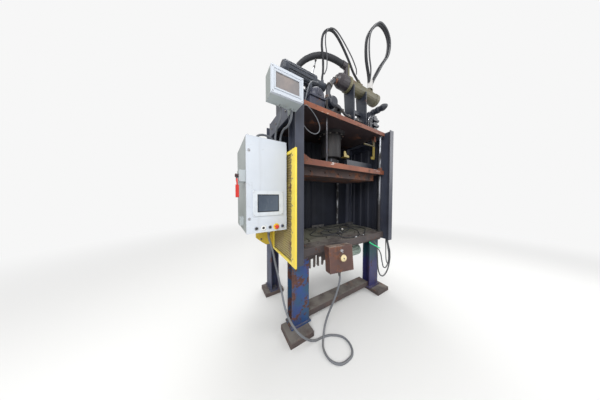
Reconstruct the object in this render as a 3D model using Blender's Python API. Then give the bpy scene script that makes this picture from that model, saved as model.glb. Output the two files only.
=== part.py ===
"""Four-post hydraulic moulding press with a down-moving platen, a side control cabinet,
a window box on the left post, a hanging push-button station and a hose-fed power unit on the crown.

Metres, +Z up. The press is drawn with x = 0 on its centre plane, y = 0 on the front face of the
posts and z = 0 on the floor; one parent empty then carries it to the middle of its own footprint.
"""
import math

import bmesh
import bpy
from mathutils import Matrix, Vector

for old in list(bpy.data.objects):
    bpy.data.objects.remove(old, do_unlink=True)

# Seats and running fits
SEAT = 0.0003            # gap between two pieces that touch
RUNNING = 0.0005         # radial gap round a rod in its bushing
SLIDING = 0.0050         # side gap between the platen and the posts

# Posts and side frames
FRAME_WIDTH = 1.750
POST_WIDTH = 0.095
POST_DEPTH = 0.150
POST_FLANGE = 0.011
POST_WEB = 0.009
POST_ABOVE = 0.013
REAR_POST_Y = 0.755
SIDE_BEAM_DEPTH = 0.185
SIDE_BEAM_THICK = 0.015
SHELF_THICK = 0.016
SHELF_REACH = 0.040

# Legs, base plates and blocks
LEG_INSET = 0.061
LEG_WIDTH = 0.222
LEG_DEPTH = 0.126
LEG_FLANGE = 0.014
LEG_WEB = 0.012
FRONT_LEG_Y = 0.185
REAR_LEG_Y = 0.906
BASE_THICK = 0.018
BASE_MARGIN = 0.018
BLOCK_WIDTH = 0.290
BLOCK_DEPTH = 0.264
BLOCK_THICK = 0.061
BLOCK_OVERHANG = 0.026
BLOCK_CHAMFER = 0.006
FRONT_BLOCK_Y = 0.0475
REAR_BLOCK_Y = 0.885
STUD_RADIUS = 0.009
STUD_HEIGHT = 0.020
TIE_WIDTH = 0.160
TIE_HEIGHT = 0.060
TIE_WALL = 0.008
TIE_TOP = 0.150
TIE_Y = 0.215

# Bed and bolster
BED_FRONT = 0.085
BED_BACK = 1.120
BED_TOP = 0.980
BED_THICK = 0.080
BED_RIB = 0.040
BED_RIB_WIDTH = 0.070
BED_HOLE_RADIUS = 0.012
BED_HOLE_MARGIN = 0.115
BED_HOLE_COUNT = 8
BOLSTER_MARGIN = 0.080
BOLSTER_FRONT = 0.235
BOLSTER_BACK = 0.760
BOLSTER_THICK = 0.035
SLOT_COUNT = 5
SLOT_WIDTH = 0.018
SLOT_UNDERCUT = 0.030
SLOT_LIP = 0.014
SLOT_DEPTH = 0.026

# Crown, main cylinder and ram
CROWN_TOP = 2.555
CROWN_THICK = 0.055
BARREL_RADIUS = 0.150
BARREL_BORE = 0.103
BARREL_FLANGE = 0.205
BARREL_FLANGE_THICK = 0.045
BARREL_BELOW = 0.380
BARREL_ABOVE = 0.340
BARREL_CAP = 0.040
RAM_RADIUS = 0.100
RAM_FOOT = 0.150
RAM_FOOT_THICK = 0.035
RAM_HEAD_SPACE = 0.050
RAM_Y = 0.470

# Platen and hot plate
PLATEN_TOP = 1.958
PLATEN_THICK = 0.064
PLATEN_BACK = 0.845
PLATEN_STROKE = 0.620
HOT_MARGIN = 0.100
HOT_FRONT = 0.200
HOT_BACK = 0.770
HOT_THICK = 0.093
HEATER_RADIUS = 0.011
HEATER_COUNT = 6
HEATER_DEPTH = 0.050
GUSSET_LENGTH = 0.250
GUSSET_HEIGHT = 0.110
GUSSET_THICK = 0.014
PACKER_LEFT = 0.110
PACKER_INSET = 0.080
PACKER_HEIGHT = 0.125
PACKER_DEPTH = 0.070
PACKER_Y = 0.245

# Guide rods and trip rod
ROD_RADIUS = 0.020
FRONT_ROD_INSET = 0.045
FRONT_ROD_Y = 0.130
REAR_ROD_INSET = 0.295
REAR_ROD_Y = 0.800
ROD_COLLAR = 0.032
ROD_COLLAR_THICK = 0.018
BUSHING_WALL = 0.012
BUSHING_HEIGHT = 0.045
TRIP_RADIUS = 0.0125
TRIP_X = -0.370
TRIP_Y = 0.140
TRIP_ABOVE = 0.154
TRIP_FOOT = 0.028

# Side guard of pierced sheet, rear curtain and right guard
GUARD_THICK = 0.020
GUARD_SHEET = 0.004
GUARD_FRONT = -0.033
GUARD_BACK = 0.590
GUARD_BOTTOM = 0.862
GUARD_TOP = 2.003
GUARD_STRIP = 0.080
GUARD_BORDER = 0.030
GUARD_CELLS_Y = 5
GUARD_CELLS_Z = 9
GUARD_BAR = 0.012
CURTAIN_Y = 0.880
CURTAIN_THICK = 0.005
CURTAIN_FOLD = 0.013
CURTAIN_PITCH = 0.110
RIGHT_GUARD_INSET = 0.045
RIGHT_GUARD_THICK = 0.004
RIGHT_GUARD_RIB = 0.018
RIGHT_GUARD_PITCH = 0.150

# Safety latch under the crown
LATCH_INSET = 0.125
LATCH_Y = 0.185
LATCH_PIN_DROP = 0.060
LATCH_PIN_RADIUS = 0.009
LATCH_LENGTH = 0.300
LATCH_WIDTH = 0.044
LATCH_THICK = 0.012
LATCH_HANDLE = 0.230
LATCH_HANDLE_RADIUS = 0.011
LATCH_HANDLE_DROP = 0.150

# Control cabinet
CABINET_GAP = 0.031
CABINET_WIDTH = 0.389
CABINET_BOTTOM = 1.209
CABINET_HEIGHT = 0.883
CABINET_FRONT = 0.135
CABINET_DEPTH = 0.630
CABINET_WALL = 0.005
DOOR_THICK = 0.022
DOOR_FOLD = 0.003
PANEL_INSET = 0.055
PANEL_THICK = 0.004
HMI_WIDTH = 0.296
HMI_HEIGHT = 0.236
HMI_PROUD = 0.009
HMI_CENTRE_X = 0.006
HMI_CENTRE_Z = 1.484
SCREEN_WIDTH = 0.211
SCREEN_HEIGHT = 0.168
SCREEN_RECESS = 0.003
CONTROL_PITCH = 0.064
CONTROL_Z = 1.252
CONTROL_FIRST_X = 0.085
COLLAR_RADIUS = 0.0165
COLLAR_PROUD = 0.006
BUTTON_RADIUS = 0.0115
BUTTON_PROUD = 0.012
BUTTON_TRAVEL = 0.004
BUTTON_GAP = 0.001
BUTTON_STEM = 0.006
STOP_RADIUS = 0.020
STOP_PROUD = 0.030
STOP_TRAVEL = 0.006
STOP_PLATE = 0.030
KNOB_RADIUS = 0.0125
KNOB_PROUD = 0.024
SWITCH_BOX_LENGTH = 0.135
SWITCH_BOX_PROUD = 0.055
SWITCH_BOX_HEIGHT = 0.105
SWITCH_BOX_Z = 1.735
SWITCH_BOX_Y = 0.172
HANDLE_HUB = 0.017
HANDLE_PROUD = 0.030
HANDLE_BLADE = 0.010
HANDLE_PIVOT_Z = 1.735
HANDLE_PIVOT_Y = 0.195
GRIP_LENGTH = 0.110
GRIP_WIDTH = 0.028
GRIP_TOP = 1.650
GRIP_Y = 0.150
SUPPORT_POST_Y = 0.600
SUPPORT_POST_DEPTH = 0.060
SUPPORT_ARM = 0.200
SUPPORT_ARM_HEIGHT = 0.190
SUPPORT_RAIL_HEIGHT = 0.055
SUPPORT_RAIL_FRONT = 0.300
SUPPORT_TOP = 2.080

# Window box on the left post
WINDOW_BOX_WIDTH = 0.280
WINDOW_BOX_HEIGHT = 0.206
WINDOW_BOX_DEPTH = 0.117
WINDOW_BOX_BOTTOM = 2.330
WINDOW_BOX_GAP = 0.005
WINDOW_BOX_WALL = 0.004
WINDOW_BACKING = 0.010
WINDOW_BACKING_HEIGHT = 0.110
LID_DEPTH = 0.022
LID_WALL = 0.003
WINDOW_WIDTH = 0.205
WINDOW_HEIGHT = 0.118
PANE_THICK = 0.004

# Push-button station on the bed
STATION_X = -0.315
STATION_Y = -0.022
STATION_WIDTH = 0.305
STATION_HEIGHT = 0.285
STATION_DEPTH = 0.105
STATION_TOP = 0.985
STATION_YAW = -11.0
STATION_LEAN = -7.0
STATION_EDGE = 0.006
ARM_WIDTH = 0.050
ARM_THICK = 0.012
PALM_RADIUS = 0.038
PALM_PROUD = 0.034
PALM_TRAVEL = 0.006
PALM_RING = 0.043
PALM_DROP = 0.130
SELECTOR_DROP = 0.050
SELECTOR_RADIUS = 0.020
SELECTOR_PROUD = 0.032

# Power unit on the crown
TANK_OVERHANG = 0.020
TANK_RIGHT = -0.170
TANK_FRONT = 0.300
TANK_BACK = 0.750
TANK_HEIGHT = 0.300
TANK_LID = 0.014
TANK_LID_LIP = 0.012
PUMP_X = -0.246
PUMP_RISE = 0.187
PUMP_RADIUS = 0.095
PUMP_LENGTH = 0.175
MOTOR_Y = 0.365
MOTOR_RISE = 0.495
MOTOR_OVERHANG = 0.080
MOTOR_RIGHT = -0.400
MOTOR_RADIUS = 0.070
MOTOR_FINS = 12
MOTOR_FIN = 0.009
MOTOR_FOOT = 0.120
HEAD_RIGHT = -0.215
HEAD_RADIUS = 0.052
BOTTLE_LEFT = -0.090
BOTTLE_OVERHANG = 0.080
BOTTLE_Y = 0.285
BOTTLE_RISE = 0.625
BOTTLE_RADIUS = 0.092
BOTTLE_CAP_LENGTH = 0.210
BOTTLE_PORT_RADIUS = 0.028
BOTTLE_PORT_HEIGHT = 0.045
LOOP_PORT_INSET = 0.330
SLEEVE_PORT_INSET = 0.125
SLEEVE_PORT_PITCH = 0.062
LOOP_PORT_LEAN = 55.0
LOOP_PORT_LENGTH = 0.100
HOSE_PORT_X = 0.125
HOSE_PORT_RADIUS = 0.043
HOSE_ELBOW_RISE = 0.250
HOSE_ELBOW_REACH = 0.100
STAND_LEFT = 0.110
STAND_INSET = 0.280
STAND_PLATE = 0.022
STAND_FRONT = 0.200
STAND_BACK = 0.312
STAND_BASE = 0.018
MANIFOLD_WIDTH = 0.230
MANIFOLD_INSET = 0.005
MANIFOLD_FRONT = 0.215
MANIFOLD_BACK = 0.400
MANIFOLD_HEIGHT = 0.320
VALVE_PITCH = 0.082
VALVE_LENGTH = 0.150
VALVE_RADIUS = 0.026
FILTER_INSET = 0.080
FILTER_RADIUS = 0.048
FILTER_FRONT = 0.010
FILTER_BACK = 0.420
FILTER_RINGS = 4

# Under the bed
FORK_INSET = 0.190
FORK_PITCH = 0.125
FORK_WIDTH = 0.100
FORK_DROP = 0.215
FORK_Y = 0.190
FORK_THICK = 0.016
UNDER_PUMP_LEFT = 0.300
UNDER_PUMP_RIGHT = 0.560
UNDER_PUMP_Y = 0.420
UNDER_PUMP_Z = 0.640
UNDER_PUMP_RADIUS = 0.088

# Hoses and leads
CORD_FACETS = 2
BOX_GLAND_Y = -0.030
TOP_GLAND_Y = 0.200
CONDUIT_LEAD = 0.012
LEAD_RADIUS = 0.0105
HOSE_RADIUS = 0.0150
SLEEVED_RADIUS = 0.0220
SUCTION_RADIUS = 0.0370
CONDUIT_RADIUS = 0.0110
ROUND = 16

# Places that follow from the sizes above
HALF = FRAME_WIDTH / 2
INSIDE = HALF - POST_WIDTH
FRAME_FOOT = BED_TOP - BED_THICK - BED_RIB
FRAME_BACK = REAR_POST_Y + POST_DEPTH
CROWN_BOTTOM = CROWN_TOP - CROWN_THICK
BED_BOTTOM = BED_TOP - BED_THICK
POST_TOP = CROWN_TOP + POST_ABOVE
TRIP_TOP = CROWN_TOP + TRIP_ABOVE
LATCH_PIN_Z = CROWN_BOTTOM - LATCH_PIN_DROP
LATCH_HANDLE_Z = CROWN_BOTTOM - LATCH_HANDLE_DROP
PUMP_Z = CROWN_TOP + PUMP_RISE
MOTOR_Z = CROWN_TOP + MOTOR_RISE
BOTTLE_Z = CROWN_TOP + BOTTLE_RISE
PLATEN_BOTTOM = PLATEN_TOP - PLATEN_THICK
LEG_OUT = HALF - LEG_INSET
BLOCK_OUT = HALF + BLOCK_OVERHANG
LEG_FOOT = BLOCK_THICK + SEAT
LEG_TOP = FRAME_FOOT - SEAT
CABINET_RIGHT = -HALF - CABINET_GAP
CABINET_LEFT = CABINET_RIGHT - CABINET_WIDTH
CABINET_TOP = CABINET_BOTTOM + CABINET_HEIGHT
CABINET_SHELL = CABINET_FRONT + DOOR_THICK + SEAT
CABINET_BACK = CABINET_FRONT + CABINET_DEPTH
CABINET_MIDDLE = (CABINET_LEFT + CABINET_RIGHT) / 2
RIGHT_GUARD_X = HALF - RIGHT_GUARD_INSET
FRONT_ROD_X = INSIDE - FRONT_ROD_INSET
REAR_ROD_X = INSIDE - REAR_ROD_INSET
BOLSTER_WIDTH = 2 * (INSIDE - BOLSTER_MARGIN)
HOT_WIDTH = 2 * (INSIDE - HOT_MARGIN)
LATCH_X = INSIDE - LATCH_INSET
PACKER_RIGHT = INSIDE - PACKER_INSET
BED_HOLE_PITCH = 2 * (INSIDE - BED_HOLE_MARGIN) / (BED_HOLE_COUNT - 1)
FORK_LEFT = FORK_INSET - INSIDE
TANK_LEFT = -INSIDE - TANK_OVERHANG
MOTOR_LEFT = -INSIDE - MOTOR_OVERHANG
BOTTLE_RIGHT = INSIDE + BOTTLE_OVERHANG
LOOP_PORT_X = INSIDE - LOOP_PORT_INSET
SLEEVE_PORT_X = INSIDE - SLEEVE_PORT_INSET
STAND_RIGHT = INSIDE - STAND_INSET
MANIFOLD_RIGHT = INSIDE - MANIFOLD_INSET
MANIFOLD_LEFT = MANIFOLD_RIGHT - MANIFOLD_WIDTH
FILTER_X = INSIDE - FILTER_INSET
LEAD_GLAND_X = CABINET_MIDDLE + 0.0225
TOP_GLANDS_X = (CABINET_RIGHT - 0.094, CABINET_RIGHT - 0.039)
TANK_BOTTOM = CROWN_TOP + SEAT
TANK_TOP = TANK_BOTTOM + TANK_HEIGHT
WINDOW_BOX_RIGHT = -HALF - WINDOW_BOX_GAP
WINDOW_BOX_LEFT = WINDOW_BOX_RIGHT - WINDOW_BOX_WIDTH
BOX_GLANDS_X = (WINDOW_BOX_RIGHT - 0.155, WINDOW_BOX_RIGHT - 0.050)
WINDOW_BOX_TOP = WINDOW_BOX_BOTTOM + WINDOW_BOX_HEIGHT
WINDOW_BOX_BACK = -WINDOW_BACKING
WINDOW_BOX_FRONT = WINDOW_BOX_BACK - WINDOW_BOX_DEPTH
LID_FRONT = WINDOW_BOX_FRONT - LID_DEPTH - SEAT
MANIFOLD_TOP = CROWN_TOP + SEAT + MANIFOLD_HEIGHT
FILTER_Z = MANIFOLD_TOP + SEAT + FILTER_RADIUS
SUPPORT_RIGHT = -HALF - SEAT
SUPPORT_LEFT = CABINET_RIGHT + SEAT
STATION_MIDDLE = STATION_TOP - STATION_HEIGHT / 2

# The footprint's middle, from the outermost pieces: the switch handle on the left, the block
# on the right, the lid in front and the rear blocks behind
LEFT_REACH = CABINET_LEFT - SWITCH_BOX_PROUD - SEAT - HANDLE_PROUD
RIGHT_REACH = BLOCK_OUT
FRONT_REACH = LID_FRONT
BACK_REACH = REAR_BLOCK_Y + BLOCK_DEPTH

press = bpy.data.objects.new("press", None)
press.location = (-(LEFT_REACH + RIGHT_REACH) / 2, -(FRONT_REACH + BACK_REACH) / 2, 0.0)
bpy.context.scene.collection.objects.link(press)


# Colours
def paint(name, colour, roughness, metallic=0.0):
    material = bpy.data.materials.new(name)
    material.use_nodes = True
    shader = material.node_tree.nodes["Principled BSDF"]
    shader.inputs["Base Color"].default_value = (*colour, 1.0)
    shader.inputs["Roughness"].default_value = roughness
    shader.inputs["Metallic"].default_value = metallic
    return material


SLATE = (0.085, 0.095, 0.125)
RUST = (0.32, 0.12, 0.06)
DARK = (0.045, 0.050, 0.065)
PALE = (0.70, 0.73, 0.76)
YELLOW = (0.75, 0.58, 0.06)
CHROME = (0.62, 0.62, 0.64)
BLACK = (0.02, 0.02, 0.022)


# Shapes
def box(low, high):
    """A rectangular block between two corners."""
    bm = bmesh.new()
    low, high = Vector(low), Vector(high)
    matrix = Matrix.Translation((low + high) / 2) @ Matrix.Diagonal((*(high - low), 1.0))
    bmesh.ops.create_cube(bm, size=1.0, matrix=matrix)
    return bm


def prism(outline, plane, low, high):
    """An outline in the plane "xy", "xz" or "yz", carried from low to high along the third axis."""
    def at(a, b, c):
        return {"xy": (a, b, c), "xz": (a, c, b), "yz": (c, a, b)}[plane]
    bm = bmesh.new()
    near = [bm.verts.new(at(a, b, low)) for a, b in outline]
    far = [bm.verts.new(at(a, b, high)) for a, b in outline]
    bm.faces.new(near)
    bm.faces.new(far)
    for i, vert in enumerate(near):
        j = (i + 1) % len(near)
        bm.faces.new((vert, near[j], far[j], far[i]))
    bmesh.ops.recalc_face_normals(bm, faces=bm.faces[:])
    return bm


def turned(profile, centre, axis="Z", steps=ROUND):
    """A profile of (radius, height) points turned about an axis through the centre."""
    bm = bmesh.new()
    rings = []
    for radius, height in profile:
        if radius == 0:
            rings.append([bm.verts.new((0, 0, height))])
            continue
        turns = [2 * math.pi * (k + 0.5) / steps for k in range(steps)]
        rings.append([bm.verts.new((radius * math.cos(t), radius * math.sin(t), height)) for t in turns])
    pairs = list(zip(rings, rings[1:]))
    if profile[0][0] > 0:
        pairs.append((rings[-1], rings[0]))
    for one, two in pairs:
        for k in range(steps):
            n = (k + 1) % steps
            corners = [one[k % len(one)], one[n % len(one)], two[n % len(two)], two[k % len(two)]]
            bm.faces.new(list(dict.fromkeys(corners))).smooth = steps > 8
    bmesh.ops.recalc_face_normals(bm, faces=bm.faces[:])
    for edge in bm.edges:
        edge.smooth = edge.calc_face_angle(0) < math.radians(34)
    turn = {"Z": Matrix.Identity(4), "X": Matrix.Rotation(math.radians(90), 4, "Y"),
            "Y": Matrix.Rotation(math.radians(-90), 4, "X")}[axis]
    bmesh.ops.transform(bm, matrix=Matrix.Translation(centre) @ turn, verts=bm.verts[:])
    return bm


def rod(radius, low, high, centre, axis="Z", steps=ROUND):
    """A plain round bar from low to high along its axis."""
    return turned([(0, low), (radius, low), (radius, high), (0, high)], centre, axis, steps)


def together(shapes):
    """Shapes that don't touch each other, as one."""
    whole = bmesh.new()
    for shape in shapes:
        mesh = bpy.data.meshes.new("shape")
        shape.to_mesh(mesh)
        shape.free()
        whole.from_mesh(mesh)
        bpy.data.meshes.remove(mesh)
    return whole


def i_outline(left, right, front, back, flange, web):
    """An I-section seen from above, its flanges facing front and back."""
    middle = (left + right) / 2
    return [(left, front), (right, front), (right, front + flange), (middle + web / 2, front + flange),
            (middle + web / 2, back - flange), (right, back - flange), (right, back), (left, back),
            (left, back - flange), (middle - web / 2, back - flange), (middle - web / 2, front + flange),
            (left, front + flange)]


def place(name, shape, pivot, material=None):
    mesh = bpy.data.meshes.new(name)
    bmesh.ops.translate(shape, vec=-Vector(pivot), verts=shape.verts[:])
    shape.to_mesh(mesh)
    shape.free()
    body = bpy.data.objects.new(name, mesh)
    if material:
        mesh.materials.append(material)
    body.location = pivot
    body.parent = press
    bpy.context.scene.collection.objects.link(body)
    return body


def piece(name, look, base, add=(), cut=(), pivot=(0, 0, 0), bevel=0.0):
    """One named piece: a base shape, shapes joined to it, shapes cut from it, and an edge bevel."""
    material = paint(name + "_finish", *look)
    body = place(name, base, pivot, material)
    for kind, shapes in (("UNION", add), ("DIFFERENCE", cut)):
        for k, shape in enumerate(shapes):
            tool = place(f"{name}_{kind.lower()}_{k}", shape, pivot, material)
            tool.hide_render = True
            tool.hide_viewport = False
            tool.display_type = "WIRE"
            step = body.modifiers.new(f"{kind.lower()} {k}", "BOOLEAN")
            step.operation = kind
            step.solver = "EXACT"
            step.object = tool
    if bevel:
        edge = body.modifiers.new("edges", "BEVEL")
        edge.width = bevel
        edge.segments = 1
        edge.limit_method = "ANGLE"
        edge.angle_limit = math.radians(60)
        edge.harden_normals = False
    return body


def smooth_path(route, spacing):
    """Evenly spaced points on a smooth curve through the route points."""
    points = [Vector(p) for p in route]
    points = [2 * points[0] - points[1]] + points + [2 * points[-1] - points[-2]]
    fine = []
    for a, b, c, d in zip(points, points[1:], points[2:], points[3:]):
        for k in range(24):
            t = k / 24
            fine.append(0.5 * ((2 * b) + (c - a) * t + (2 * a - 5 * b + 4 * c - d) * t * t
                               + (3 * b - a - 3 * c + d) * t * t * t))
    fine.append(points[-2])
    length = sum((q - p).length for p, q in zip(fine, fine[1:]))
    count = max(4, round(length / spacing))
    wanted = [length * k / count for k in range(count + 1)]
    path, walked, k = [fine[0]], 0.0, 1
    for p, q in zip(fine, fine[1:]):
        step = (q - p).length
        while k < count and walked + step >= wanted[k]:
            path.append(p.lerp(q, (wanted[k] - walked) / step))
            k += 1
        walked += step
    path.append(fine[-1])
    return path


def cord(name, look, route, radius, spacing=5.0):
    """A hose or lead along a route, as a round tube with closed ends."""
    path = smooth_path(route, spacing * radius)
    for end, beside, at in ((0, 1, 1), (-1, -2, -1)):
        straight = (Vector(route[beside]) - Vector(route[end])).normalized()
        path.insert(at, Vector(route[end]) + straight * radius)
    curve = bpy.data.curves.new(name, "CURVE")
    curve.dimensions = "3D"
    curve.bevel_depth = radius
    curve.bevel_resolution = CORD_FACETS
    curve.use_fill_caps = True
    line = curve.splines.new("POLY")
    line.points.add(len(path) - 1)
    for point, where in zip(line.points, path):
        point.co = (*where, 1.0)
    line.use_smooth = True
    curve.materials.append(paint(name + "_finish", *look))
    body = bpy.data.objects.new(name, curve)
    body.parent = press
    bpy.context.scene.collection.objects.link(body)
    return body


def s_bend(top, foot, lead):
    """A route in two equal arcs that leaves the top straight down and reaches the foot straight down."""
    top, foot = Vector(top), Vector(foot)
    across = Vector((foot.x - top.x, foot.y - top.y, 0.0))
    fall = (top.z - foot.z) / 2 - lead
    angle = 2 * math.atan2(across.length / 2, fall)
    radius = fall / math.sin(angle)
    sideways = across.normalized()
    arc = []
    for k in range(7):
        turn = angle * k / 6
        arc.append(sideways * radius * (1 - math.cos(turn)) - Vector((0, 0, radius * math.sin(turn) + lead)))
    return [top] + [top + step for step in arc] + [foot - step for step in reversed(arc[:-1])] + [foot]


def leaning(shape, foot, degrees):
    """A shape drawn upright over a point, leaned over towards the left about that point."""
    lean = Matrix.Translation(foot) @ Matrix.Rotation(math.radians(-degrees), 4,
                                                      "Y") @ Matrix.Translation(-Vector(foot))
    bmesh.ops.transform(shape, matrix=lean, verts=shape.verts[:])
    return shape


# Foot blocks, legs and the tie between the front legs
for side, sign in (("left", -1), ("right", 1)):
    for row, block_y, leg_y in (("front", FRONT_BLOCK_Y, FRONT_LEG_Y), ("rear", REAR_BLOCK_Y, REAR_LEG_Y)):
        outer = sign * BLOCK_OUT
        inner = sign * (BLOCK_OUT - BLOCK_WIDTH)
        piece(f"foot_block_{row}_{side}", ((0.10, 0.08, 0.07), 0.85),
              box((min(outer, inner), block_y, 0.0), (max(outer, inner), block_y + BLOCK_DEPTH, BLOCK_THICK)),
              bevel=BLOCK_CHAMFER)
        wide, deep = (LEG_WIDTH, LEG_DEPTH) if row == "front" else (LEG_DEPTH, LEG_WIDTH)
        left = sign * LEG_OUT - (wide if sign > 0 else 0)
        right = left + wide
        foot = LEG_FOOT + BASE_THICK
        if row == "front":
            section = prism(i_outline(left, right, leg_y, leg_y + deep, LEG_FLANGE, LEG_WEB), "xy", LEG_FOOT,
                            LEG_TOP)
            studs = [((left + right) / 2 + s * wide * 0.28, leg_y + deep / 2) for s in (-1, 1)]
        else:
            turned_outline = [(b, a) for a, b in i_outline(leg_y, leg_y + deep, left, right, LEG_FLANGE,
                                                           LEG_WEB)]
            section = prism(turned_outline, "xy", LEG_FOOT, LEG_TOP)
            studs = [((left + right) / 2, leg_y + deep / 2 + s * deep * 0.28) for s in (-1, 1)]
        base = box((left - BASE_MARGIN, leg_y - BASE_MARGIN, LEG_FOOT),
                   (right + BASE_MARGIN, leg_y + deep + BASE_MARGIN, foot))
        head = box((left, leg_y, LEG_TOP - BASE_THICK), (right, leg_y + deep, LEG_TOP))
        nuts = together([rod(STUD_RADIUS, foot - BASE_THICK / 2, foot + STUD_HEIGHT, (x, y, 0), steps=6)
                         for x, y in studs])
        piece(f"leg_{row}_{side}", ((0.05, 0.09, 0.30), 0.6), section, add=[base, head, nuts])

tie_bottom = LEG_FOOT + BASE_THICK + SEAT
tie_reach = LEG_OUT - LEG_WIDTH - SEAT
tie_back = TIE_Y + TIE_WIDTH
piece("floor_tie", ((0.13, 0.11, 0.10), 0.8),
      prism([(TIE_Y, tie_bottom), (TIE_Y + TIE_WALL, tie_bottom), (TIE_Y + TIE_WALL, TIE_TOP - TIE_WALL),
             (tie_back - TIE_WALL, TIE_TOP - TIE_WALL), (tie_back - TIE_WALL, tie_bottom), (tie_back,
                                                                                            tie_bottom),
             (tie_back, TIE_TOP), (TIE_Y, TIE_TOP)], "yz", -tie_reach, tie_reach))

# Side frames: two I-section posts joined low down and at the crown
for side, sign in (("left", -1), ("right", 1)):
    def across(a, b):
        return (min(sign * a, sign * b), max(sign * a, sign * b))
    left, right = across(INSIDE, HALF)
    front_post = prism(i_outline(left, right, 0, POST_DEPTH, POST_FLANGE, POST_WEB), "xy", FRAME_FOOT,
                       POST_TOP)
    rear_post = prism(i_outline(left, right, REAR_POST_Y, FRAME_BACK, POST_FLANGE, POST_WEB), "xy",
                      FRAME_FOOT, POST_TOP)
    reach = (POST_DEPTH - POST_FLANGE / 2, REAR_POST_Y + POST_FLANGE / 2)
    low, high = across(INSIDE + SLIDING, HALF)
    web = sign * (INSIDE + SLIDING)
    flange = sign * (INSIDE + SLIDING + POST_WEB)
    top = BED_TOP
    channel = [(sign * HALF, FRAME_FOOT), (sign * HALF, FRAME_FOOT + POST_FLANGE), (flange,
                                                                                    FRAME_FOOT + POST_FLANGE),
               (flange, top - POST_FLANGE), (sign * HALF, top - POST_FLANGE), (sign * HALF, top), (web, top),
               (web, FRAME_FOOT)]
    low_beam = prism(channel, "xz", *reach)
    low, high = across(HALF - SIDE_BEAM_THICK, HALF)
    top_plate = box((low, reach[0], CROWN_TOP - SIDE_BEAM_DEPTH), (high, reach[1], CROWN_TOP))
    low, high = across(INSIDE - SHELF_REACH, HALF - SIDE_BEAM_THICK / 2)
    shelf = box((low, FRONT_ROD_Y + ROD_COLLAR + SLIDING, CROWN_BOTTOM - SEAT - SHELF_THICK),
                (high, reach[1], CROWN_BOTTOM - SEAT))
    piece(f"side_frame_{side}", (SLATE, 0.55), front_post, add=[rear_post, low_beam, top_plate, shelf])

# Bed, bolster and crown
rib_low = FRAME_FOOT
rib_out = LEG_OUT - LEG_WIDTH / 2 + BED_RIB_WIDTH / 2
rib_in = rib_out - BED_RIB_WIDTH
half_bed = INSIDE - SEAT
long_ribs = together([box((min(s * rib_in, s * rib_out), BED_FRONT + 0.02, rib_low),
                          (max(s * rib_in, s * rib_out), BED_BACK - 0.02,
                           BED_BOTTOM + BED_RIB / 2)) for s in (-1, 1)])
cross_ribs = together([box((-rib_in - BED_RIB_WIDTH / 2, y, rib_low + 0.006),
                           (rib_in + BED_RIB_WIDTH / 2, y + BED_RIB_WIDTH / 3, BED_BOTTOM + BED_RIB / 2))
                       for y in (BED_FRONT + 0.03, BED_BACK - 0.08)])
first = -BED_HOLE_PITCH * (BED_HOLE_COUNT - 1) / 2
ledge = (BED_FRONT + BOLSTER_FRONT) / 2
bed_holes = together([rod(BED_HOLE_RADIUS, BED_TOP - 0.05, BED_TOP + 0.02, (first + k * BED_HOLE_PITCH,
                                                                            ledge, 0), steps=12)
                      for k in range(BED_HOLE_COUNT)])
piece("bed", ((0.16, 0.13, 0.12), 0.75),
      box((-half_bed, BED_FRONT, BED_BOTTOM), (half_bed, BED_BACK, BED_TOP)),
      add=[long_ribs, cross_ribs], cut=[bed_holes])

bolster_low = BED_TOP + SEAT
bolster_top = bolster_low + BOLSTER_THICK
outline = [(-BOLSTER_WIDTH / 2, bolster_low), (BOLSTER_WIDTH / 2, bolster_low), (BOLSTER_WIDTH / 2,
                                                                                 bolster_top)]
slot_pitch = BOLSTER_WIDTH / SLOT_COUNT
for k in reversed(range(SLOT_COUNT)):
    x = (k - (SLOT_COUNT - 1) / 2) * slot_pitch
    deep, lip = bolster_top - SLOT_DEPTH, bolster_top - SLOT_LIP
    outline += [(x + SLOT_WIDTH / 2, bolster_top), (x + SLOT_WIDTH / 2, lip), (x + SLOT_UNDERCUT / 2, lip),
                (x + SLOT_UNDERCUT / 2, deep), (x - SLOT_UNDERCUT / 2, deep), (x - SLOT_UNDERCUT / 2, lip),
                (x - SLOT_WIDTH / 2, lip), (x - SLOT_WIDTH / 2, bolster_top)]
outline.append((-BOLSTER_WIDTH / 2, bolster_top))
piece("bolster_plate", ((0.20, 0.21, 0.15), 0.7), prism(outline, "xz", BOLSTER_FRONT, BOLSTER_BACK))

lug_gap = LATCH_THICK / 2 + 0.003
lug_low = LATCH_PIN_Z - LATCH_PIN_RADIUS * 2.2
lugs = together([box((LATCH_X - LATCH_WIDTH / 2, LATCH_Y + a, lug_low),
                     (LATCH_X + LATCH_WIDTH / 2, LATCH_Y + b, CROWN_BOTTOM + 0.01))
                 for a, b in ((-lug_gap - LATCH_THICK, -lug_gap), (lug_gap, lug_gap + LATCH_THICK))])
pin = rod(LATCH_PIN_RADIUS, -lug_gap - LATCH_THICK - 0.006, lug_gap + LATCH_THICK + 0.006,
          (LATCH_X, LATCH_Y, LATCH_PIN_Z), "Y", 16)
piece("crown_plate", ((0.34, 0.13, 0.06), 0.7),
      box((-half_bed, BED_FRONT, CROWN_BOTTOM), (half_bed, FRAME_BACK, CROWN_TOP)),
      add=[lugs, pin],
      cut=[together([rod(BARREL_RADIUS + SEAT, CROWN_BOTTOM - 0.02, CROWN_TOP + 0.02, (0, RAM_Y, 0),
                         steps=24),
                     rod(TRIP_RADIUS + RUNNING, CROWN_BOTTOM - 0.02, CROWN_TOP + 0.02, (TRIP_X, TRIP_Y, 0),
                         steps=16)])])

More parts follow.
